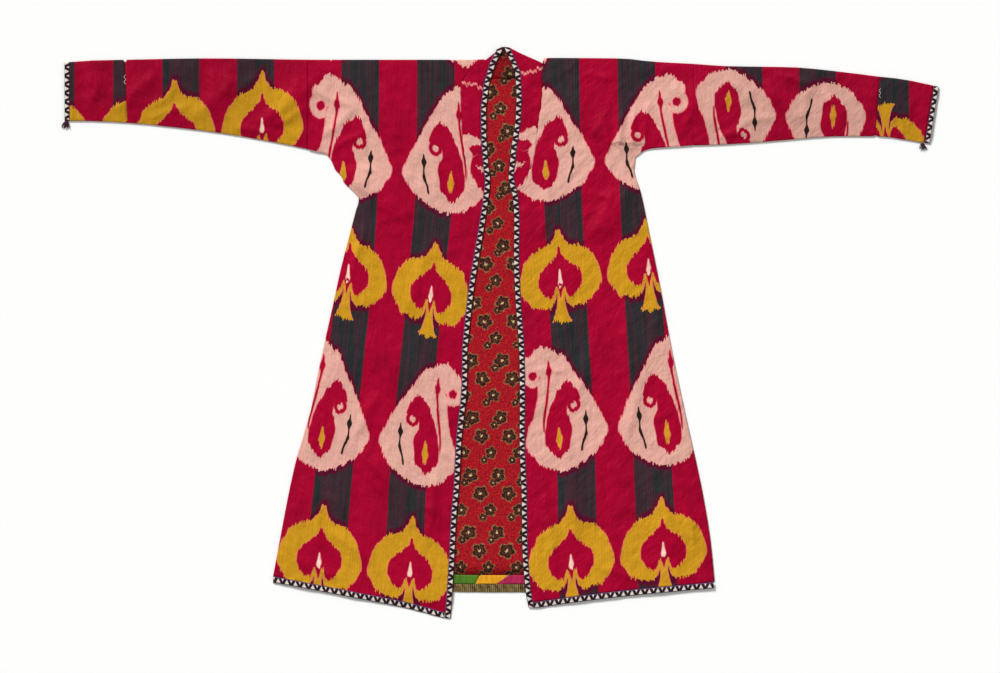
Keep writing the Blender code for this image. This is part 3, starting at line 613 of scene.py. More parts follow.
def ikat_silk(name, neck=False):
    """Silk ikat (adras): silk warp, cotton weft. The warp is tied and dyed before it is woven, so each motif
    is crisp along its sides and feathers into teeth where it ends up or down the warp. The silk gives it a
    weak sheen, and the cotton weft a fine rib across."""
    material, tree, shader = new_material(name, 0.58, sheen=0.0, specular=0.05)
    across, along = cloth_place(tree)
    slips = warp_slips(tree, across, along)
    slipped = add(tree, "ADD", along, slips)
    folded = add(tree, "MINIMUM", slipped, add(tree, "SUBTRACT", 2 * MIRROR, slipped))
    half = add(tree, "ABSOLUTE", across)

    # Ground: crimson, paler and deeper in streaks and clouds
    streak = noise(tree, across, along, 1.6, 260.0, 3.0, 1.0)
    cloudy = noise(tree, across, along, 60.0, 90.0, 3.0, 9.0)
    deep = add(tree, "MapRange", cloudy, 0.45, 0.75, 0.0, 0.55)
    colour = blot(tree, IKAT["crimson"], deep, IKAT["crimson_deep"])
    colour = blot(tree, colour, add(tree, "MapRange", streak, 0.5, 0.85, 0.0, 0.35), IKAT["crimson_pale"])
    gold_streak = add(tree, "MapRange", streak, 0.45, 0.8, 0.0, 0.6)
    gold = blot(tree, IKAT["gold"], gold_streak, IKAT["gold_pale"])
    weft = noise(tree, across, along, 40.0, 1.9, 2.0, 13.0)
    beige = add(tree, "MULTIPLY", add(tree, "MapRange", weft, 0.4, 0.7, 0.15, 0.95),
                add(tree, "MapRange", cloudy, 0.3, 0.7, 0.45, 1.0))
    pink = blot(tree, IKAT["pink"], beige, IKAT["beige"])

    # The dyes, one over another. Columns: shape, its dye, its soft edge, fringe dye, width of the fringe
    if neck:
        up = add(tree, "SUBTRACT", folded, ALMOND_FOOT)
        leaf, tongue, line = neck_shapes(tree, up, slipped, half)
        layers = (
            (almond_body(tree, up, half), pink, DYE_EDGE, "fringe_pink", 2.4),
            (leaf, IKAT["crimson"], DYE_EDGE, "fringe_pink", 1.4),
            (tongue, pink, DYE_EDGE, None, 0.0),
            (line, IKAT["fringe_pink"], 2.0, None, 0.0),
        )
    else:
        # Columns: pattern, start and end of its range, most cover, dye
        dark = IKAT["stripe_a"]
        for pattern, start, end, most, dye in (
            (noise(tree, across, along, 9.0, 420.0, 2.0, 5.0), 0.42, 0.58, 0.9, "stripe_b"),
            (noise(tree, across, along, 4.0, 300.0, 2.0, 7.0), 0.48, 0.64, 0.85, "stripe_c"),
            (streak, 0.5, 0.66, 0.7, "stripe_d"),
        ):
            dark = blot(tree, dark, add(tree, "MapRange", pattern, start, end, 0.0, most), IKAT[dye])
        stripe = covers(tree, between(tree, half, *STRIPE), 2.4)
        colour = blot(tree, colour, stripe, dark)
        up = add(tree, "SUBTRACT", add(tree, "FLOORED_MODULO", folded, REPEAT), ALMOND_FOOT)
        heart, kernel, heart_flame, heart_halo = heart_leaf(tree, folded, half)
        almond, boteh, flame, spear, almond_halo = curled_almond(tree, up, slips, half)
        halo = add(tree, "MapRange", add(tree, "MAXIMUM", heart_halo, almond_halo), -1.0, 8.0)
        colour = blot(tree, colour, add(tree, "MULTIPLY", halo, stripe), IKAT["halo"])
        layers = (
            (heart, gold, DYE_EDGE, "fringe_gold", 2.2),
            (kernel, IKAT["crimson"], DYE_EDGE, "fringe_gold", 1.6),
            (heart_flame, IKAT["white"], FINE_EDGE, "fringe_pink", 1.2),
            (almond, pink, DYE_EDGE, "fringe_pink", 2.4),
            (boteh, IKAT["crimson"], DYE_EDGE, "fringe_pink", 1.4),
            (flame, gold, FINE_EDGE, "fringe_gold", 1.6),
            (spear, IKAT["spear"], FINE_EDGE, None, 0.0),
        )
    for shape, dye, edge, fringe_dye, fringe in layers:
        if fringe_dye:
            colour = blot(tree, colour, covers(tree, shape, DYE_EDGE, fringe), IKAT[fringe_dye])
        colour = blot(tree, colour, covers(tree, shape, edge), dye)

    # A brown stain near the right hem, fine ribs and threads, and painted shade that darkens the sleeves
    where = add(tree, "TexCoord", out=3)
    stain = add(tree, "VectorMath DISTANCE", where, tuple(in_row_frame(STAIN_PLACE)), out=1)
    colour = blot(tree, colour, add(tree, "MapRange", stain, *STAIN_REACH, 0.75, 0.0), IKAT["stain"])
    thread = add(tree, "MapRange", noise(tree, across, along, 1.1, 60.0, 1.0, 21.0), 0.3, 0.7, 0.88, 1.1)
    ribs = add(tree, "MapRange", noise(tree, across, along, 26.0, 1.3, 2.0, 25.0), 0.3, 0.7, 0.92, 1.07)
    x, y = add(tree, "SeparateXYZ", where, out=None).outputs[:2]
    from_middle = add(tree, "ABSOLUTE", x)
    # painted shade: the silk's colour darkens from the middle out towards the sleeve ends
    sleeve_painted_shade = add(tree, "MapRange", from_middle, 0.38, 0.55, 1.0, 0.86)
    shade = add(tree, "MULTIPLY", add(tree, "MULTIPLY", thread, ribs), sleeve_painted_shade)
    colour = add(tree, "HueSaturation", 0.5, 1.0, shade, 1.0, colour)
    tree.links.new(colour, shader.inputs["Base Color"])

    # Fine crumples, too small to be in the mesh, pulled folds down towards the opening, then the ribs
    crumple = noise(tree, across, along, 16.0, 34.0, 3.0, 31.0)
    cell = add(tree, "CombineXYZ", add(tree, "MULTIPLY", across, 1 / 46.0),
               add(tree, "MULTIPLY", along, 1 / 74.0), crumple)
    fold_lines = add(tree, "TexVoronoi", cell, None, 1.0, feature="DISTANCE_TO_EDGE")
    pressed = add(tree, "MapRange", fold_lines, 0.0, 0.07)
    inward = add(tree, "MULTIPLY", add(tree, "SUBTRACT", from_middle, y), DIAGONAL)
    downward = add(tree, "MULTIPLY", add(tree, "ADD", from_middle, y), DIAGONAL)
    pulls = noise(tree, inward, downward, 26.0, 75.0, 3.0, 35.0)
    relief = add(tree, "MULTIPLY_ADD", crumple, 1.2, add(tree, "MULTIPLY", pressed, 0.12))
    relief = add(tree, "MULTIPLY_ADD", pulls, 2.0, relief)
    soft = add(tree, "Bump", 0.85, 0.0026, None, relief)
    fine = add(tree, "Bump", 0.22, 0.0004, None, ribs)
    tree.links.new(soft, fine.node.inputs["Normal"])
    tree.links.new(fine, shader.inputs["Normal"])
    tree.links.new(add(tree, "MapRange", streak, 0.2, 0.8, 0.5, 0.62), shader.inputs["Roughness"])
    return material


def printed_cotton():
    """Roller-printed cotton: matt, plain woven, deep red with orange-red squiggles and dark round flowers."""
    repeat_across, repeat_along = 62.0, 125.0
    # Columns: across, along, radius
    flowers = ((-13, 70, 18.5), (10, 106, 15.5), (-5, 122, 10.0), (27, 30, 18.0), (14, 46, 10.0))
    material, tree, shader = new_material("printed_cotton", 0.85, sheen=0.02, specular=0.1)
    across, along = cloth_place(tree)
    wander = noise(tree, across, along, 90.0, 90.0, 1.0, 2.0)
    across_bent = add(tree, "MULTIPLY_ADD", wander, 14.0, across)
    squiggle = noise(tree, across, along, 3.4, 3.4, 3.0, 4.0)
    where = add(tree, "CombineXYZ", add(tree, "MULTIPLY", across, 1 / 3.2),
                add(tree, "MULTIPLY", along, 1 / 4.2), squiggle)
    speckle = add(tree, "TexVoronoi", where, None, 1.0)
    orange = add(tree, "MapRange", squiggle, 0.52, 0.64, 0.0, 0.85)
    colour = blot(tree, linear("A30E1E"), orange, linear("C8301F"))
    colour = blot(tree, colour, add(tree, "MapRange", speckle, 0.5, 0.75, 0.0, 0.75), linear("6A0818"))
    nearest = 9.0
    for flower_x, flower_y, size in flowers:
        offsets = []
        for value, centre, cell in ((across_bent, flower_x, repeat_across), (along, flower_y, repeat_along)):
            # 40 repeats more, as the remainder must be taken of a number above 0
            moved = add(tree, "ADD", value, cell / 2 - centre + 40 * cell)
            offsets.append(add(tree, "SUBTRACT", add(tree, "MODULO", moved, cell), cell / 2))
        radius = add(tree, "VectorMath LENGTH", add(tree, "CombineXYZ", *offsets), out=1)
        turn = add(tree, "ARCTAN2", offsets[1], offsets[0])
        lobes = add(tree, "COSINE", add(tree, "MULTIPLY_ADD", turn, 2.5, flower_x))
        petals = add(tree, "ABSOLUTE", lobes)
        edge = add(tree, "MULTIPLY_ADD", petals, 0.3 * size, 0.7 * size)
        nearest = add(tree, "MINIMUM", nearest, add(tree, "DIVIDE", radius, edge))
    uneven = add(tree, "MULTIPLY_ADD", squiggle, 1.1, -0.55)
    print_edge = add(tree, "ADD", nearest, uneven)
    ramp = add(tree, "ValToRGB", print_edge, out=None)
    stops = (
        (0.0, "D8C898"), (0.14, "C0A060"), (0.2, "2A1410"), (0.44, "40181A"), (0.5, "7A4A34"),
        (0.56, "2C1614"), (0.86, "30140F"), (0.93, "A08A58"), (0.99, "8A2A20"),
    )
    ramp.color_ramp.elements.remove(ramp.color_ramp.elements[1])
    for at, code in stops:
        element = ramp.color_ramp.elements.new(at) if at else ramp.color_ramp.elements[0]
        element.color = linear(code)
    colour = blot(tree, ramp.outputs[0], add(tree, "MapRange", print_edge, 0.98, 1.06), colour)
    # painted shade: the cotton is darkened behind the neck, where the collar shades it
    above = add(tree, "MapRange", along, 40.0, 62.0, 0.62, 1.0)  # darker behind the neck
    grainy = add(tree, "MapRange", noise(tree, across, along, 1.2, 1.2, 2.0, 6.0), 0.3, 0.7, 0.82, 1.14)
    colour = add(tree, "HueSaturation", 0.5, 1.0, add(tree, "MULTIPLY", above, grainy), 1.0, colour)
    tree.links.new(colour, shader.inputs["Base Color"])
    soft = add(tree, "Bump", 0.35, 0.0015, None, noise(tree, across, along, 22.0, 40.0, 3.0, 8.0))
    tree.links.new(soft, shader.inputs["Normal"])
    return material


def woven_tape():
    """Card-woven cotton tape (jiyak): matt and closely ribbed, cream triangles on black and aubergine."""
    material, tree, shader = new_material("woven_tape", 0.82, sheen=0.02, specular=0.12)
    across, along = cloth_place(tree)
    period, rib = 18.8, 1.6  # length of one repeat and of one rib
    step = add(tree, "FRACT", add(tree, "DIVIDE", along, period))
    triangles = []
    # Columns: middle, how its half width grows across the tape, its half width at the robe's edge
    for middle, growth, half_at_edge in ((0.30, -0.028, 0.275), (0.80, 0.022, -0.1)):
        away = add(tree, "ABSOLUTE", add(tree, "SUBTRACT", step, middle))
        reach = add(tree, "MULTIPLY_ADD", across, growth, half_at_edge)
        triangles.append(add(tree, "SUBTRACT", reach, away))
    cream = add(tree, "MAXIMUM", *triangles)
    patchy = noise(tree, across, along, 5.0, 7.0, 2.0, 3.0)
    plum = add(tree, "MapRange", patchy, 0.5, 0.62, 0.0, 0.8)
    colour = blot(tree, linear("1C0F16"), plum, linear("4A2036"))
    colour = blot(tree, colour, add(tree, "MapRange", cream, -0.025, 0.025), linear("E9DFD2"))
    colour = blot(tree, colour, add(tree, "MapRange", across, 9.8, 10.4), linear("5E3E66"))
    colour = blot(tree, colour, add(tree, "MapRange", across, 0.9, 0.4), linear("2A141E"))
    ribs = add(tree, "SINE", add(tree, "MULTIPLY", along, 2 * math.pi / rib))
    shade = add(tree, "MapRange", ribs, -1.0, 1.0, 0.86, 1.06)
    colour = add(tree, "HueSaturation", 0.5, 1.0, shade, 1.0, colour)
    tree.links.new(colour, shader.inputs["Base Color"])
    tree.links.new(add(tree, "Bump", 0.5, 0.0006, None, ribs), shader.inputs["Normal"])
    return material


def plain_thread(name, code, other, spacing=1.5):
    """Cotton thread in one dye, uneven along its length: matt, with a little fuzz that catches the light."""
    material, tree, shader = new_material(name, 0.7, sheen=0.05, specular=0.2)
    where = add(tree, "VectorMath SCALE", add(tree, "TexCoord", out=3), None, None, 1000 / spacing)
    patchy = add(tree, "TexNoise", where, None, 0.35, 2.0, 0.6)
    colour = blot(tree, linear(code), add(tree, "MapRange", patchy, 0.4, 0.6), linear(other))
    tree.links.new(colour, shader.inputs["Base Color"])
    return material


def plain_silk(name, code, other):
    """Plain-dyed silk for the facings: a soft sheen, worn in streaks across the hem."""
    material, tree, shader = new_material(name, 0.55, sheen=0.02, specular=0.18)
    across, along = cloth_place(tree)
    streak = noise(tree, across, along, 4.0, 30.0, 3.0, 2.0)
    colour = blot(tree, linear(code), add(tree, "MapRange", streak, 0.42, 0.66, 0.0, 0.85), linear(other))
    tree.links.new(colour, shader.inputs["Base Color"])
    tree.links.new(add(tree, "Bump", 0.4, 0.001, None, streak), shader.inputs["Normal"])
    return material


def overcast_binding():
    """Bias-cut striped cotton, bound over the hem: matt, a narrow straw stripe on dark red and olive."""
    material, tree, shader = new_material("hem_binding", 0.85, sheen=0.05, specular=0.2)
    across, along = cloth_place(tree)
    wobble = noise(tree, across, along, 9.0, 9.0, 2.0, 3.0)
    bent = add(tree, "MULTIPLY_ADD", wobble, 2.4, across)
    step = add(tree, "FRACT", add(tree, "DIVIDE", bent, 4.2))  # a stripe every 4.2 mm
    light = covers(tree, about(tree, step, 0.5, 0.24), 0.12)
    patches = add(tree, "MapRange", wobble, 0.45, 0.6)
    ground = blot(tree, linear("52101E"), patches, linear("24241A"))
    colour = blot(tree, ground, light, linear("A08C50"))
    tree.links.new(colour, shader.inputs["Base Color"])
    tree.links.new(add(tree, "Bump", 0.5, 0.0008, None, light), shader.inputs["Normal"])
    return material


SILK = ikat_silk("silk_ikat_adras")
NECK_SILK = ikat_silk("silk_ikat_adras_neck", neck=True)
COTTON = printed_cotton()
TAPE = woven_tape()
BINDING = overcast_binding()
GREEN = plain_silk("silk_green", "4E7A1E", "35610F")
GOLD = plain_silk("silk_gold", "E0A21A", "C98414")
ROSE = plain_silk("silk_rose", "B02050", "7E1438")
DARK_THREAD = plain_thread("cotton_thread_aubergine", "1E0E16", "54243E")
LAVENDER = plain_thread("cotton_thread_lavender", "6B4A7A", "3E2650")
CREAM_THREAD = plain_thread("cotton_thread_cream", "F0E6D4", "D8C8AC")
STITCH_THREAD = plain_thread("cotton_thread_olive", "8A7A44", "3A2A20", 3.0)


# ---- the body


def fill(outer, inner, top, bottom, drops, columns):
    """Points of a panel between four edges. Rows start at these drops on the outer edge."""
    share_across = np.linspace(0, 1, columns)
    rows = []
    for drop in drops:
        start = float(outer(drop))
        share = (drop - float(top(start))) / (float(bottom(start)) - float(top(start)))
        share = min(max(share, 0.0), 1.0)
        end = float(inner(drop))
        for _ in range(6):
            end = float(inner(top(end) + share * (bottom(end) - top(end))))
        x = start + (end - start) * share_across
        rows.append(np.stack([x, top(x) + share * (bottom(x) - top(x))], axis=-1))
    return np.array(rows)


def make_body(side, sign, grain_rows):
    """One loom width: the back and the front in one length, folded over the shoulder."""
    body, tape = Outline(f"body_{side}"), Outline(f"trim_front_{side}")
    gore, hem_tape = Outline(f"neck_gore_{side}"), Outline(f"trim_hem_{side}")
    end = 0 if sign < 0 else 1
    drops = np.arange(-10.0, 1240.0, 2.0)
    outer_x = body.limits(1, drops)[end]
    gore_x, tape_x = gore.limits(1, drops)[end], tape.limits(1, drops)[end]
    inner_x = np.where(drops < gore.high[1] - 1, gore_x, tape_x) - sign * PANEL_LAP
    outer = lambda drop: np.interp(drop, drops, outer_x)
    inner = lambda drop: np.interp(drop, drops, inner_x)
    armhole = float(np.interp(100.0, drops, outer_x))
    top_x = armhole - sign * np.arange(2.0, abs(armhole) - 3, 3.0)[:: -sign]
    top_drop = body.limits(0, top_x)[0]
    top = lambda x: np.interp(x, top_x, top_drop)
    front_foot = line_of(hem_tape, 0, 0, 16, 16)
    back_top_of_binding = line_of(Outline("hem_binding_back"), 0, 0)
    centre = lambda drop: np.full(np.shape(drop), sign * 0.3)
    back_foot = lambda x: back_top_of_binding(x) - 0.4

    shoulder_drop = float(top(armhole)) + TURN + EDGE
    underarm = float(drops[np.argmax((abs(outer_x - armhole) > 12) & (drops > 100))])
    foot = float(front_foot(outer(1130.0)))
    rows = np.concatenate([
        np.arange(shoulder_drop, underarm - 8, STEP),
        np.arange(underarm - 8, underarm + 32, 1.6),
        np.arange(underarm + 32, foot - 1, STEP),
        [foot],
    ])
    front = fill(outer, inner, lambda x: top(x) + EDGE + TURN, lambda x: front_foot(x) - 0.3, rows, 104)
    x, drop = front[..., 0], front[..., 1]

    # The front comes down to the table along its side seam, and lies flat along the shoulder fold
    z = upper_height(x, drop)
    from_side = abs(x - x[:, :1])
    beside_seam = np.exp(-((from_side / 14.0) ** 2)) * smooth_step((drop[:, :1] - underarm) / 8)
    z = z - beside_seam * (z - 2.0) * (drop < back_edge(x))
    z = z + seam_puckers(from_side, drop, 1.7) * smooth_step(from_side / 4)
    z = z + seam_puckers(abs(x - x[:, -1:]), drop, 4.4)
    from_top = drop - (top(x) + EDGE)
    z = z - (z - FRONT_LEVEL - SHELL / 2) * np.exp(-((from_top / 9.0) ** 2))
    front_points = np.stack([x, drop, np.maximum(z, 0.6)], axis=-1)

    # Round the shoulder fold, from the back to the front
    turn = []
    first = front_points[0]
    for angle in np.radians((0, 30, 60, 90, 120, 150)):
        low = SHELL / 2 + 0.1
        height = (first[:, 2] - low) / 2
        turn.append(np.stack([
            first[:, 0],
            first[:, 1] - TURN * math.sin(angle),
            low + height * (1 - math.cos(angle)),
        ], axis=-1))
    upper = np.concatenate([np.array(turn), front_points])
    in_turn = np.arange(len(upper))[:, None] < len(turn)
    uv = grain(grain_rows, upper[..., 0], np.where(in_turn, upper[..., 1] - 1.0, upper[..., 1]))

    # The back on the table, with the design running on over the fold
    back_rows = np.concatenate([
        np.arange(shoulder_drop, underarm - 8, 14.0),
        np.arange(underarm - 8, underarm + 32, 4.0),
        np.arange(underarm + 32, float(back_foot(outer(1130.0))) - 2, 14.0),
        [float(back_foot(outer(1130.0)))],
    ])
    back = fill(outer, centre, lambda x: top(x) + EDGE + TURN, back_foot, back_rows, 64)
    back_x, back_drop = back[..., 0], back[..., 1]
    back_z = SHELL / 2 + 0.12 + 0.12 * ripples(back_x, back_drop, 21, 40, 120)
    back_uv = grain(grain_rows, back_x, -back_drop)
    grids = [(upper, uv), (np.stack([back_x, back_drop, back_z], axis=-1), back_uv)]
    cloth(f"body_{side}_silk", grids, SILK, [f"body_{side}"])


def make_gore(side, sign, grain_rows):
    """The narrow strip beside the opening, which runs on up as the neck band."""
    outline = Outline(f"neck_gore_{side}")
    drops = np.arange(outline.low[1] + 0.6, outline.high[1] - 0.2, 4.0)
    low, high = outline.limits(1, drops)
    x = low[:, None] + (high - low)[:, None] * np.linspace(0.0, 1.0, 11)
    drop = np.repeat(drops[:, None], 11, axis=1)
    z = upper_height(x, drop) + seam_puckers(abs(x - (low if sign < 0 else high)[:, None]), drop, 2.2)
    z = z + seam_puckers(abs(x - (high if sign < 0 else low)[:, None]), drop, 5.1)
    cloth(f"neck_gore_{side}_silk", [(np.stack([x, drop, z], axis=-1), grain(grain_rows, x, drop))],
          NECK_SILK, [f"neck_gore_{side}"])


def tape_height(across):
    """The tape's own section: a low dome with a thicker edge on both sides."""
    return 0.9 * np.sqrt(np.clip(1 - (2 * across - 1) ** 2, 0, 1)) + 0.35 * (np.abs(2 * across - 1) > 0.6)


def ribbon(name, x, drop, across, along, nodes):
    """Tape lying on the edge of the upper layer. across runs from 0 at the robe's edge to 1."""
    z = upper_height(x, drop) + 0.2 + tape_height(across)
    uv = np.stack([across * TAPE_WIDTH, np.broadcast_to(along, across.shape)], axis=-1) * MM
    cloth(name, [(np.stack([x, drop, z], axis=-1), uv)], TAPE, nodes, thickness=1.4)


def cord_along(name, x, drop, z, radius, material):
    path = np.stack([x, drop, z], axis=-1)
    threads(name, [strand(path, radius, 6)], material)


def make_front_tape(side, sign):
    outline = Outline(f"trim_front_{side}")
    drops = np.arange(outline.low[1] + 0.8, outline.high[1] - 0.8, 2.5)
    low, high = outline.limits(1, drops)
    edge, body_side = (high, low) if sign < 0 else (low, high)
    middle = (low + high) / 2
    along = np.concatenate([[0], np.cumsum(np.hypot(np.diff(drops), np.diff(middle)))])
    across = np.repeat(np.linspace(0, 1, 8)[None], len(drops), axis=0)
    x = edge[:, None] + (body_side - edge)[:, None] * across
    drop = np.repeat(drops[:, None], 8, axis=1)
    ribbon(f"trim_front_{side}_tape", x, drop, across, along[:, None], [f"trim_front_{side}"])
    level = upper_height(body_side, drops) + 0.7
    cord_along(f"trim_front_{side}_cord", body_side + sign * 0.2, drops, level, 0.65, LAVENDER)
    level = upper_height(edge, drops) + 0.5
    cord_along(f"trim_front_{side}_edge", edge, drops, level, 1.0, DARK_THREAD)


def make_hem_tape(side):
    outline = Outline(f"trim_hem_{side}")
    x_line = np.arange(outline.low[0] + 0.4, outline.high[0] - 0.4, 2.5)
    low, high = outline.limits(0, x_line)
    across = np.repeat(np.linspace(0, 1, 8)[None], len(x_line), axis=0)
    x = np.repeat(x_line[:, None], 8, axis=1)
    drop = high[:, None] + (low - high)[:, None] * across
    ribbon(f"trim_hem_{side}_tape", x, drop, across, x_line[:, None], [f"trim_hem_{side}"])
    level = upper_height(x_line, low) + 0.7
    cord_along(f"trim_hem_{side}_cord", x_line, low - 0.2, level, 0.65, LAVENDER)
    edge = upper_height(x_line, high) + 0.5
    cord_along(f"trim_hem_{side}_edge", x_line, high, edge, 1.0, DARK_THREAD)


# ---- the sleeves


def end_of(outline, end, top, low):
    """x at the upper and lower corner of one end of a sleeve piece, whose end may slant."""
    near = outline.low[0] if end == 0 else outline.high[0]
    inset = 30.0
    first, last = float(top(near)) + inset, float(low(near)) - inset
    at_first, at_last = outline.limits(1, np.array([first, last]))[end]
    slope = (at_last - at_first) / (last - first)
    return at_first - slope * inset, at_last + slope * inset


def tube(starts, ends, top, low, spacing):
    """A flattened sleeve. Each ring starts at the seam below, goes up the lower layer, over the top fold and
    down the upper layer. Also returns the drop that each point has when the cloth is opened out."""
    count = max(2, int(abs(ends[0] - starts[0]) / spacing) + 1)
    lower_count, upper_count = 12, 34
    turns = np.radians((45, 90, 135))
    fold = 2 + lower_count + 1  # the middle of the top fold, which has three points
    upper_part = slice(fold + 2, fold + 2 + upper_count)
    rings, opened = [], []
    for share in np.linspace(0, 1, count):
        top_x = starts[0] + (ends[0] - starts[0]) * share
        low_x = starts[1] + (ends[1] - starts[1]) * share
        first, last = float(top(top_x)) + EDGE, float(low(low_x)) - EDGE
        lower = np.linspace(last - TURN, first + TURN, lower_count)
        upper = np.linspace(first + TURN, last - TURN, upper_count)
        drop = np.concatenate([
            [last, last - TURN * 0.3], lower, first + TURN * (1 - np.sin(turns)), upper, [last - TURN * 0.3],
        ])
        x = top_x + (low_x - top_x) * (drop - first) / (last - first)
        from_edge = np.minimum(upper - first, last - upper)
        crown = crease_height(x[upper_part], upper) * smooth_step(from_edge / 22.0)
        puckers = seam_puckers(last - upper, x[upper_part], 3.3)
        z = SHELL / 2 + 0.1 + np.concatenate([
            [TURN, TURN * 0.3], np.zeros(lower_count), TURN * (1 - np.cos(turns)), 2 * TURN + crown + puckers,
            [TURN * 1.7],
        ])
        rings.append(np.stack([x, drop, z], axis=-1))
        flat = np.concatenate([2 * first - drop[:fold], [first], drop[fold + 1 :], [last]])
        opened.append(np.stack([np.append(x, x[0]), flat], axis=-1))
    return np.array(rings), np.array(opened)


def make_sleeve(side, sign, sleeve_grain, end_grain):
    sleeve, end_piece = Outline(f"sleeve_{side}"), Outline(f"sleeve_end_{side}")
    both = Outline(f"sleeve_{side}", f"sleeve_end_{side}")
    trims = (24, 4) if sign < 0 else (4, 24)
    top, low = line_of(both, 0, 0, *trims), line_of(both, 0, 1, *trims)
    inward, outward = (1, 0) if sign < 0 else (0, 1)
    for name, outline, rows in (
        (f"sleeve_{side}", sleeve, sleeve_grain), (f"sleeve_end_{side}", end_piece, end_grain),
    ):
        starts = [x - sign * SEAM_LAP for x in end_of(outline, inward, top, low)]
        rings, opened = tube(starts, end_of(outline, outward, top, low), top, low, STEP)
        cloth(f"{name}_silk", [(rings, grain(rows, opened[..., 0], opened[..., 1]))], SILK,
              [name], ring=True)
    cuff = Outline(f"trim_cuff_{side}")
    starts, ends = end_of(cuff, inward, top, low), end_of(cuff, outward, top, low)
    rings, opened = tube(starts, ends, top, low, 1.8)
    across = np.linspace(1, 0, len(rings))
    middle = rings[..., 2].mean(axis=1, keepdims=True)
    upper = rings[..., 2] > middle
    rings[..., 2] += np.where(upper, 0.4 + tape_height(across)[:, None], 0.1)
    around = opened[..., 1]
    uv = np.stack([np.broadcast_to(across[:, None] * TAPE_WIDTH, around.shape), around + 300], axis=-1) * MM
    cloth(f"trim_cuff_{side}_tape", [(rings, uv)], TAPE, [f"trim_cuff_{side}"],
          thickness=0.9, ring=True)

    # Loose cream threads where the end piece is sewn on
    seam_x = end_of(sleeve, outward, top, low)[0]
    drops = np.arange(float(top(seam_x)) + 26, float(top(seam_x)) + 44, 5.5)
    some = []
    for k, drop in enumerate(drops):
        x = seam_x + np.linspace(-1.5, 2.0, 5) * (1 if k % 2 else -1)
        here = drop + np.linspace(0, 4.4, 5)
        some.append(strand(np.stack([x, here, upper_height(x, here) + 0.7], axis=-1), 0.5))
    threads(f"loose_threads_{side}", some, CREAM_THREAD)


def make_tassel(side, sign):
    """A little brush of thread at the lower corner of the cuff."""
    low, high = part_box(f"tassel_{side}")
    box_x = np.array([low.x, high.x]) / MM - X0
    box_drop = Y0 - np.array([high.y, low.y]) / MM
    middle = box_x.mean()
    draw = np.random.default_rng(5 if sign < 0 else 6)
    some = []
    for k in range(46):
        spread = draw.uniform(-1, 1)
        length = draw.uniform(0.7, 1.1) * (box_drop[1] - box_drop[0])
        t = np.linspace(0, 1, 7)
        curl = draw.uniform(-2.5, 2.5)
        x = middle + sign * 2 * t + spread * (2 + 7.5 * t) + curl * np.sin(3 * t)
        drop = box_drop[0] - 1 + length * t - 1.5 * abs(spread) * t
        z = 1.2 + draw.uniform(0, 2.6) + 1.2 * np.sin(math.pi * t) * draw.uniform(0.2, 1)
        some.append(strand(np.stack([x, drop, z], axis=-1), 0.55, 5, 0.5))
    for turn in range(4):
        angle = np.linspace(0, 2 * math.pi, 13)
        x = middle + 4.2 * np.cos(angle)
        drop = box_drop[0] + 1 + 1.1 * turn + 0.3 * np.sin(angle)
        some.append(strand(np.stack([x, drop, 2.8 + 2.0 * np.sin(angle)], axis=-1), 0.6))
    threads(f"tassel_{side}_threads", some, DARK_THREAD, [f"tassel_{side}"])


# ---- lining, facing, back hem, neck


def make_lining():
    outline = Outline("back_lining")
    left, right = line_of(outline, 1, 0, 2, 12), line_of(outline, 1, 1, 2, 12)
    foot_line = line_of(outline, 0, 1, 4, 4)
    drops = np.arange(outline.low[1] + 0.5, outline.high[1] - 22, 7.0)
    rows = []
    for drop in drops:
        rows.append(np.linspace(float(left(drop)), float(right(drop)), 120))
    x = np.array(rows)
    drop = np.repeat(drops[:, None], 120, axis=1)
    x = np.concatenate([x, x[-1:]])
    drop = np.concatenate([drop, foot_line(x[-1:]) - 0.1])
    z = LINING_LEVEL + THIN / 2 + 0.15 + 0.3 * ripples(x, drop, 30, 30, 90) * (np.abs(x) < 100)
    uv = np.stack([x + drop * 0.025, drop], axis=-1) * MM
    cloth("back_lining_cotton", [(np.stack([x, drop, z], axis=-1), uv)], COTTON,
          ["back_lining"], thickness=THIN)


def simple_sheet(name, node, material, level, axis, thickness, seed, count, spacing=4.0, reach=0.0):
    """A small flat piece whose outline is read along x (axis 0) or along the drop (axis 1). Its last line
    may reach a little past the outline."""
    outline = Outline(node)
    where = np.arange(outline.low[axis] + 0.3, outline.high[axis] - 0.2, spacing)
    low, high = outline.limits(axis, where)
    where[-1] += reach
    other = low[:, None] + (high - low)[:, None] * np.linspace(0, 1, count)
    along = np.repeat(where[:, None], count, axis=1)
    x, drop = (along, other) if axis == 0 else (other, along)
    z = level + thickness / 2 + 0.25 * ripples(x, drop, seed, 12, 40)
    uv = np.stack([x, drop], axis=-1) * MM
    cloth(name, [(np.stack([x, drop, z], axis=-1), uv)], material, [node], thickness=thickness)


def make_back_hem():
    for node, material, slot in (
        ("hem_facing_green", GREEN, "silk_green"), ("hem_facing_gold", GOLD, "silk_gold"),
        ("hem_facing_rose", ROSE, "silk_rose"),
    ):
        simple_sheet(f"{node}_silk", node, material, LINING_LEVEL + 0.3, 0, THIN, 41, 8, 3.0)
    simple_sheet("hem_binding_back_cloth", "hem_binding_back", BINDING, 0.6, 0, 1.2, 47, 9,
                 3.0)
    outline = Outline("hem_binding_back")
    x_line = np.arange(outline.low[0] + 4, outline.high[0] - 4, 3.4)
    low, high = outline.limits(0, x_line)
    draw = np.random.default_rng(12)
    some = []
    for x, upper, lower in zip(x_line, low, high):
        lean = 1.6 + draw.uniform(-0.5, 0.5)
        t = np.linspace(0, 1, 5)
        z = 2.0 + 0.8 * np.sin(math.pi * t)
        path = np.stack([x + lean * t, upper + 1 + (lower - upper - 1.5) * t, z - 0.9 * t**6], axis=-1)
        some.append(strand(path, 0.55, 5))
    threads("hem_overcast_stitches", some, STITCH_THREAD)


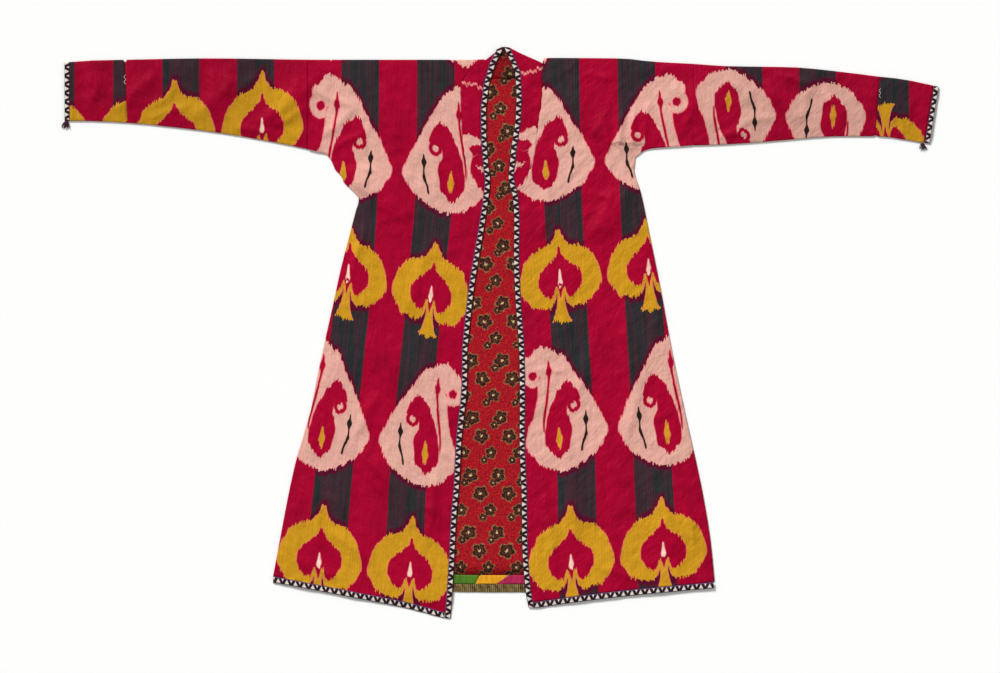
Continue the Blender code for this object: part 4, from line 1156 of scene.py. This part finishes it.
def make_neck():
    collar = Outline("collar_back")
    x_line = np.arange(collar.low[0] + 0.6, collar.high[0] - 0.6, 3.0)
    low, high = collar.limits(0, x_line)
    drop = low[:, None] + (high - low)[:, None] * np.linspace(0, 1, 10)
    x = np.repeat(x_line[:, None], 10, axis=1)
    swell = 0.4 * np.sin(math.pi * (drop - low[:, None]) / 50)
    z = SHELL / 2 + 0.2 + 0.3 * ripples(x, drop, 51, 14, 50) + swell
    uv = np.stack([(x - 30) * 0.5, np.full(x.shape, 800.0)], axis=-1) * MM
    cloth("collar_back_silk", [(np.stack([x, drop, z], axis=-1), uv)], NECK_SILK,
          ["collar_back"])
    simple_sheet("collar_lining_cotton", "collar_lining", COTTON, LINING_LEVEL + 0.2, 1,
                 THIN, 55, 16, reach=LINING_LAP)
    left, right = Outline("trim_front_left"), Outline("trim_front_right")
    start = (left.limits(1, [left.low[1] + 2])[0].mean() + 2, left.low[1] + 2)
    end = (right.limits(1, [right.low[1] + 2])[1].mean() - 4, right.low[1] + 2)
    t = np.linspace(0, 1, 14)
    for name, rise, radius in (("neck_peak_edge", 3.0, 1.8), ("neck_peak_edge_inner", 0.5, 1.2)):
        x = start[0] + (end[0] - start[0]) * t
        drop = start[1] + (end[1] - start[1]) * t - rise * np.sin(math.pi * t)
        cord_along(name, x, drop, np.full(len(t), FRONT_LEVEL + 1.2), radius, DARK_THREAD)


make_body("left", -1, LEFT_GRAIN)
make_body("right", 1, RIGHT_GRAIN)
for side, sign, gore_grain, sleeve_grain, end_grain in (
    ("left", -1, LEFT_GORE_GRAIN, LEFT_SLEEVE_GRAIN, LEFT_END_GRAIN),
    ("right", 1, RIGHT_GORE_GRAIN, RIGHT_SLEEVE_GRAIN, RIGHT_END_GRAIN),
):
    make_gore(side, sign, gore_grain)
    make_front_tape(side, sign)
    make_hem_tape(side)
    make_sleeve(side, sign, sleeve_grain, end_grain)
    make_tassel(side, sign)
make_lining()
make_back_hem()
make_neck()


# ---- table, light and camera


def make_studio():
    floor_mesh = bpy.data.meshes.new("table")
    size, level = 9.0, -0.0004
    corners = [(-size, -size, level), (size, -size, level), (size, size, level), (-size, size, level)]
    floor_mesh.from_pydata(corners, [], [(0, 1, 2, 3)])
    floor = bpy.data.objects.new("table", floor_mesh)
    bpy.context.scene.collection.objects.link(floor)
    material, _, shader = new_material("pale_table", 0.9, specular=0.1)
    shader.inputs["Base Color"].default_value = linear("F6F6F5")
    floor_mesh.materials.append(material)

    world = bpy.data.worlds.new("studio")
    bpy.context.scene.world = world
    world.use_nodes = True
    background = world.node_tree.nodes["Background"]
    background.inputs["Color"].default_value = (1.0, 1.0, 1.0, 1.0)
    background.inputs["Strength"].default_value = 0.4

    # Columns: name, where it comes from, angle across, strength
    for name, comes_from, angle, strength in (
        ("key", (-0.42, 0.71, 0.56), 16.0, 3.55), ("fill", (0.9, -0.3, 0.9), 60.0, 0.2),
    ):
        light = bpy.data.lights.new(name, "SUN")
        light.angle = math.radians(angle)
        light.energy = strength
        lamp = bpy.data.objects.new(name, light)
        lamp.rotation_mode = "QUATERNION"
        lamp.rotation_quaternion = Vector(comes_from).to_track_quat("Z", "Y")
        bpy.context.scene.collection.objects.link(lamp)

    camera = bpy.data.cameras.new("camera")
    camera.type = "PERSP"
    camera.lens = 200.0
    camera.sensor_width = 36.0
    height = VIEW_WIDTH * MM * camera.lens / camera.sensor_width
    camera.clip_end = 3 * height
    viewer = bpy.data.objects.new("camera", camera)
    middle = in_row_frame((*VIEW_MIDDLE, 0.0))
    viewer.location = (float(middle[0]), float(middle[1]), height)
    bpy.context.scene.collection.objects.link(viewer)
    bpy.context.scene.camera = viewer
    bpy.context.scene.view_settings.view_transform = "Standard"


make_studio()
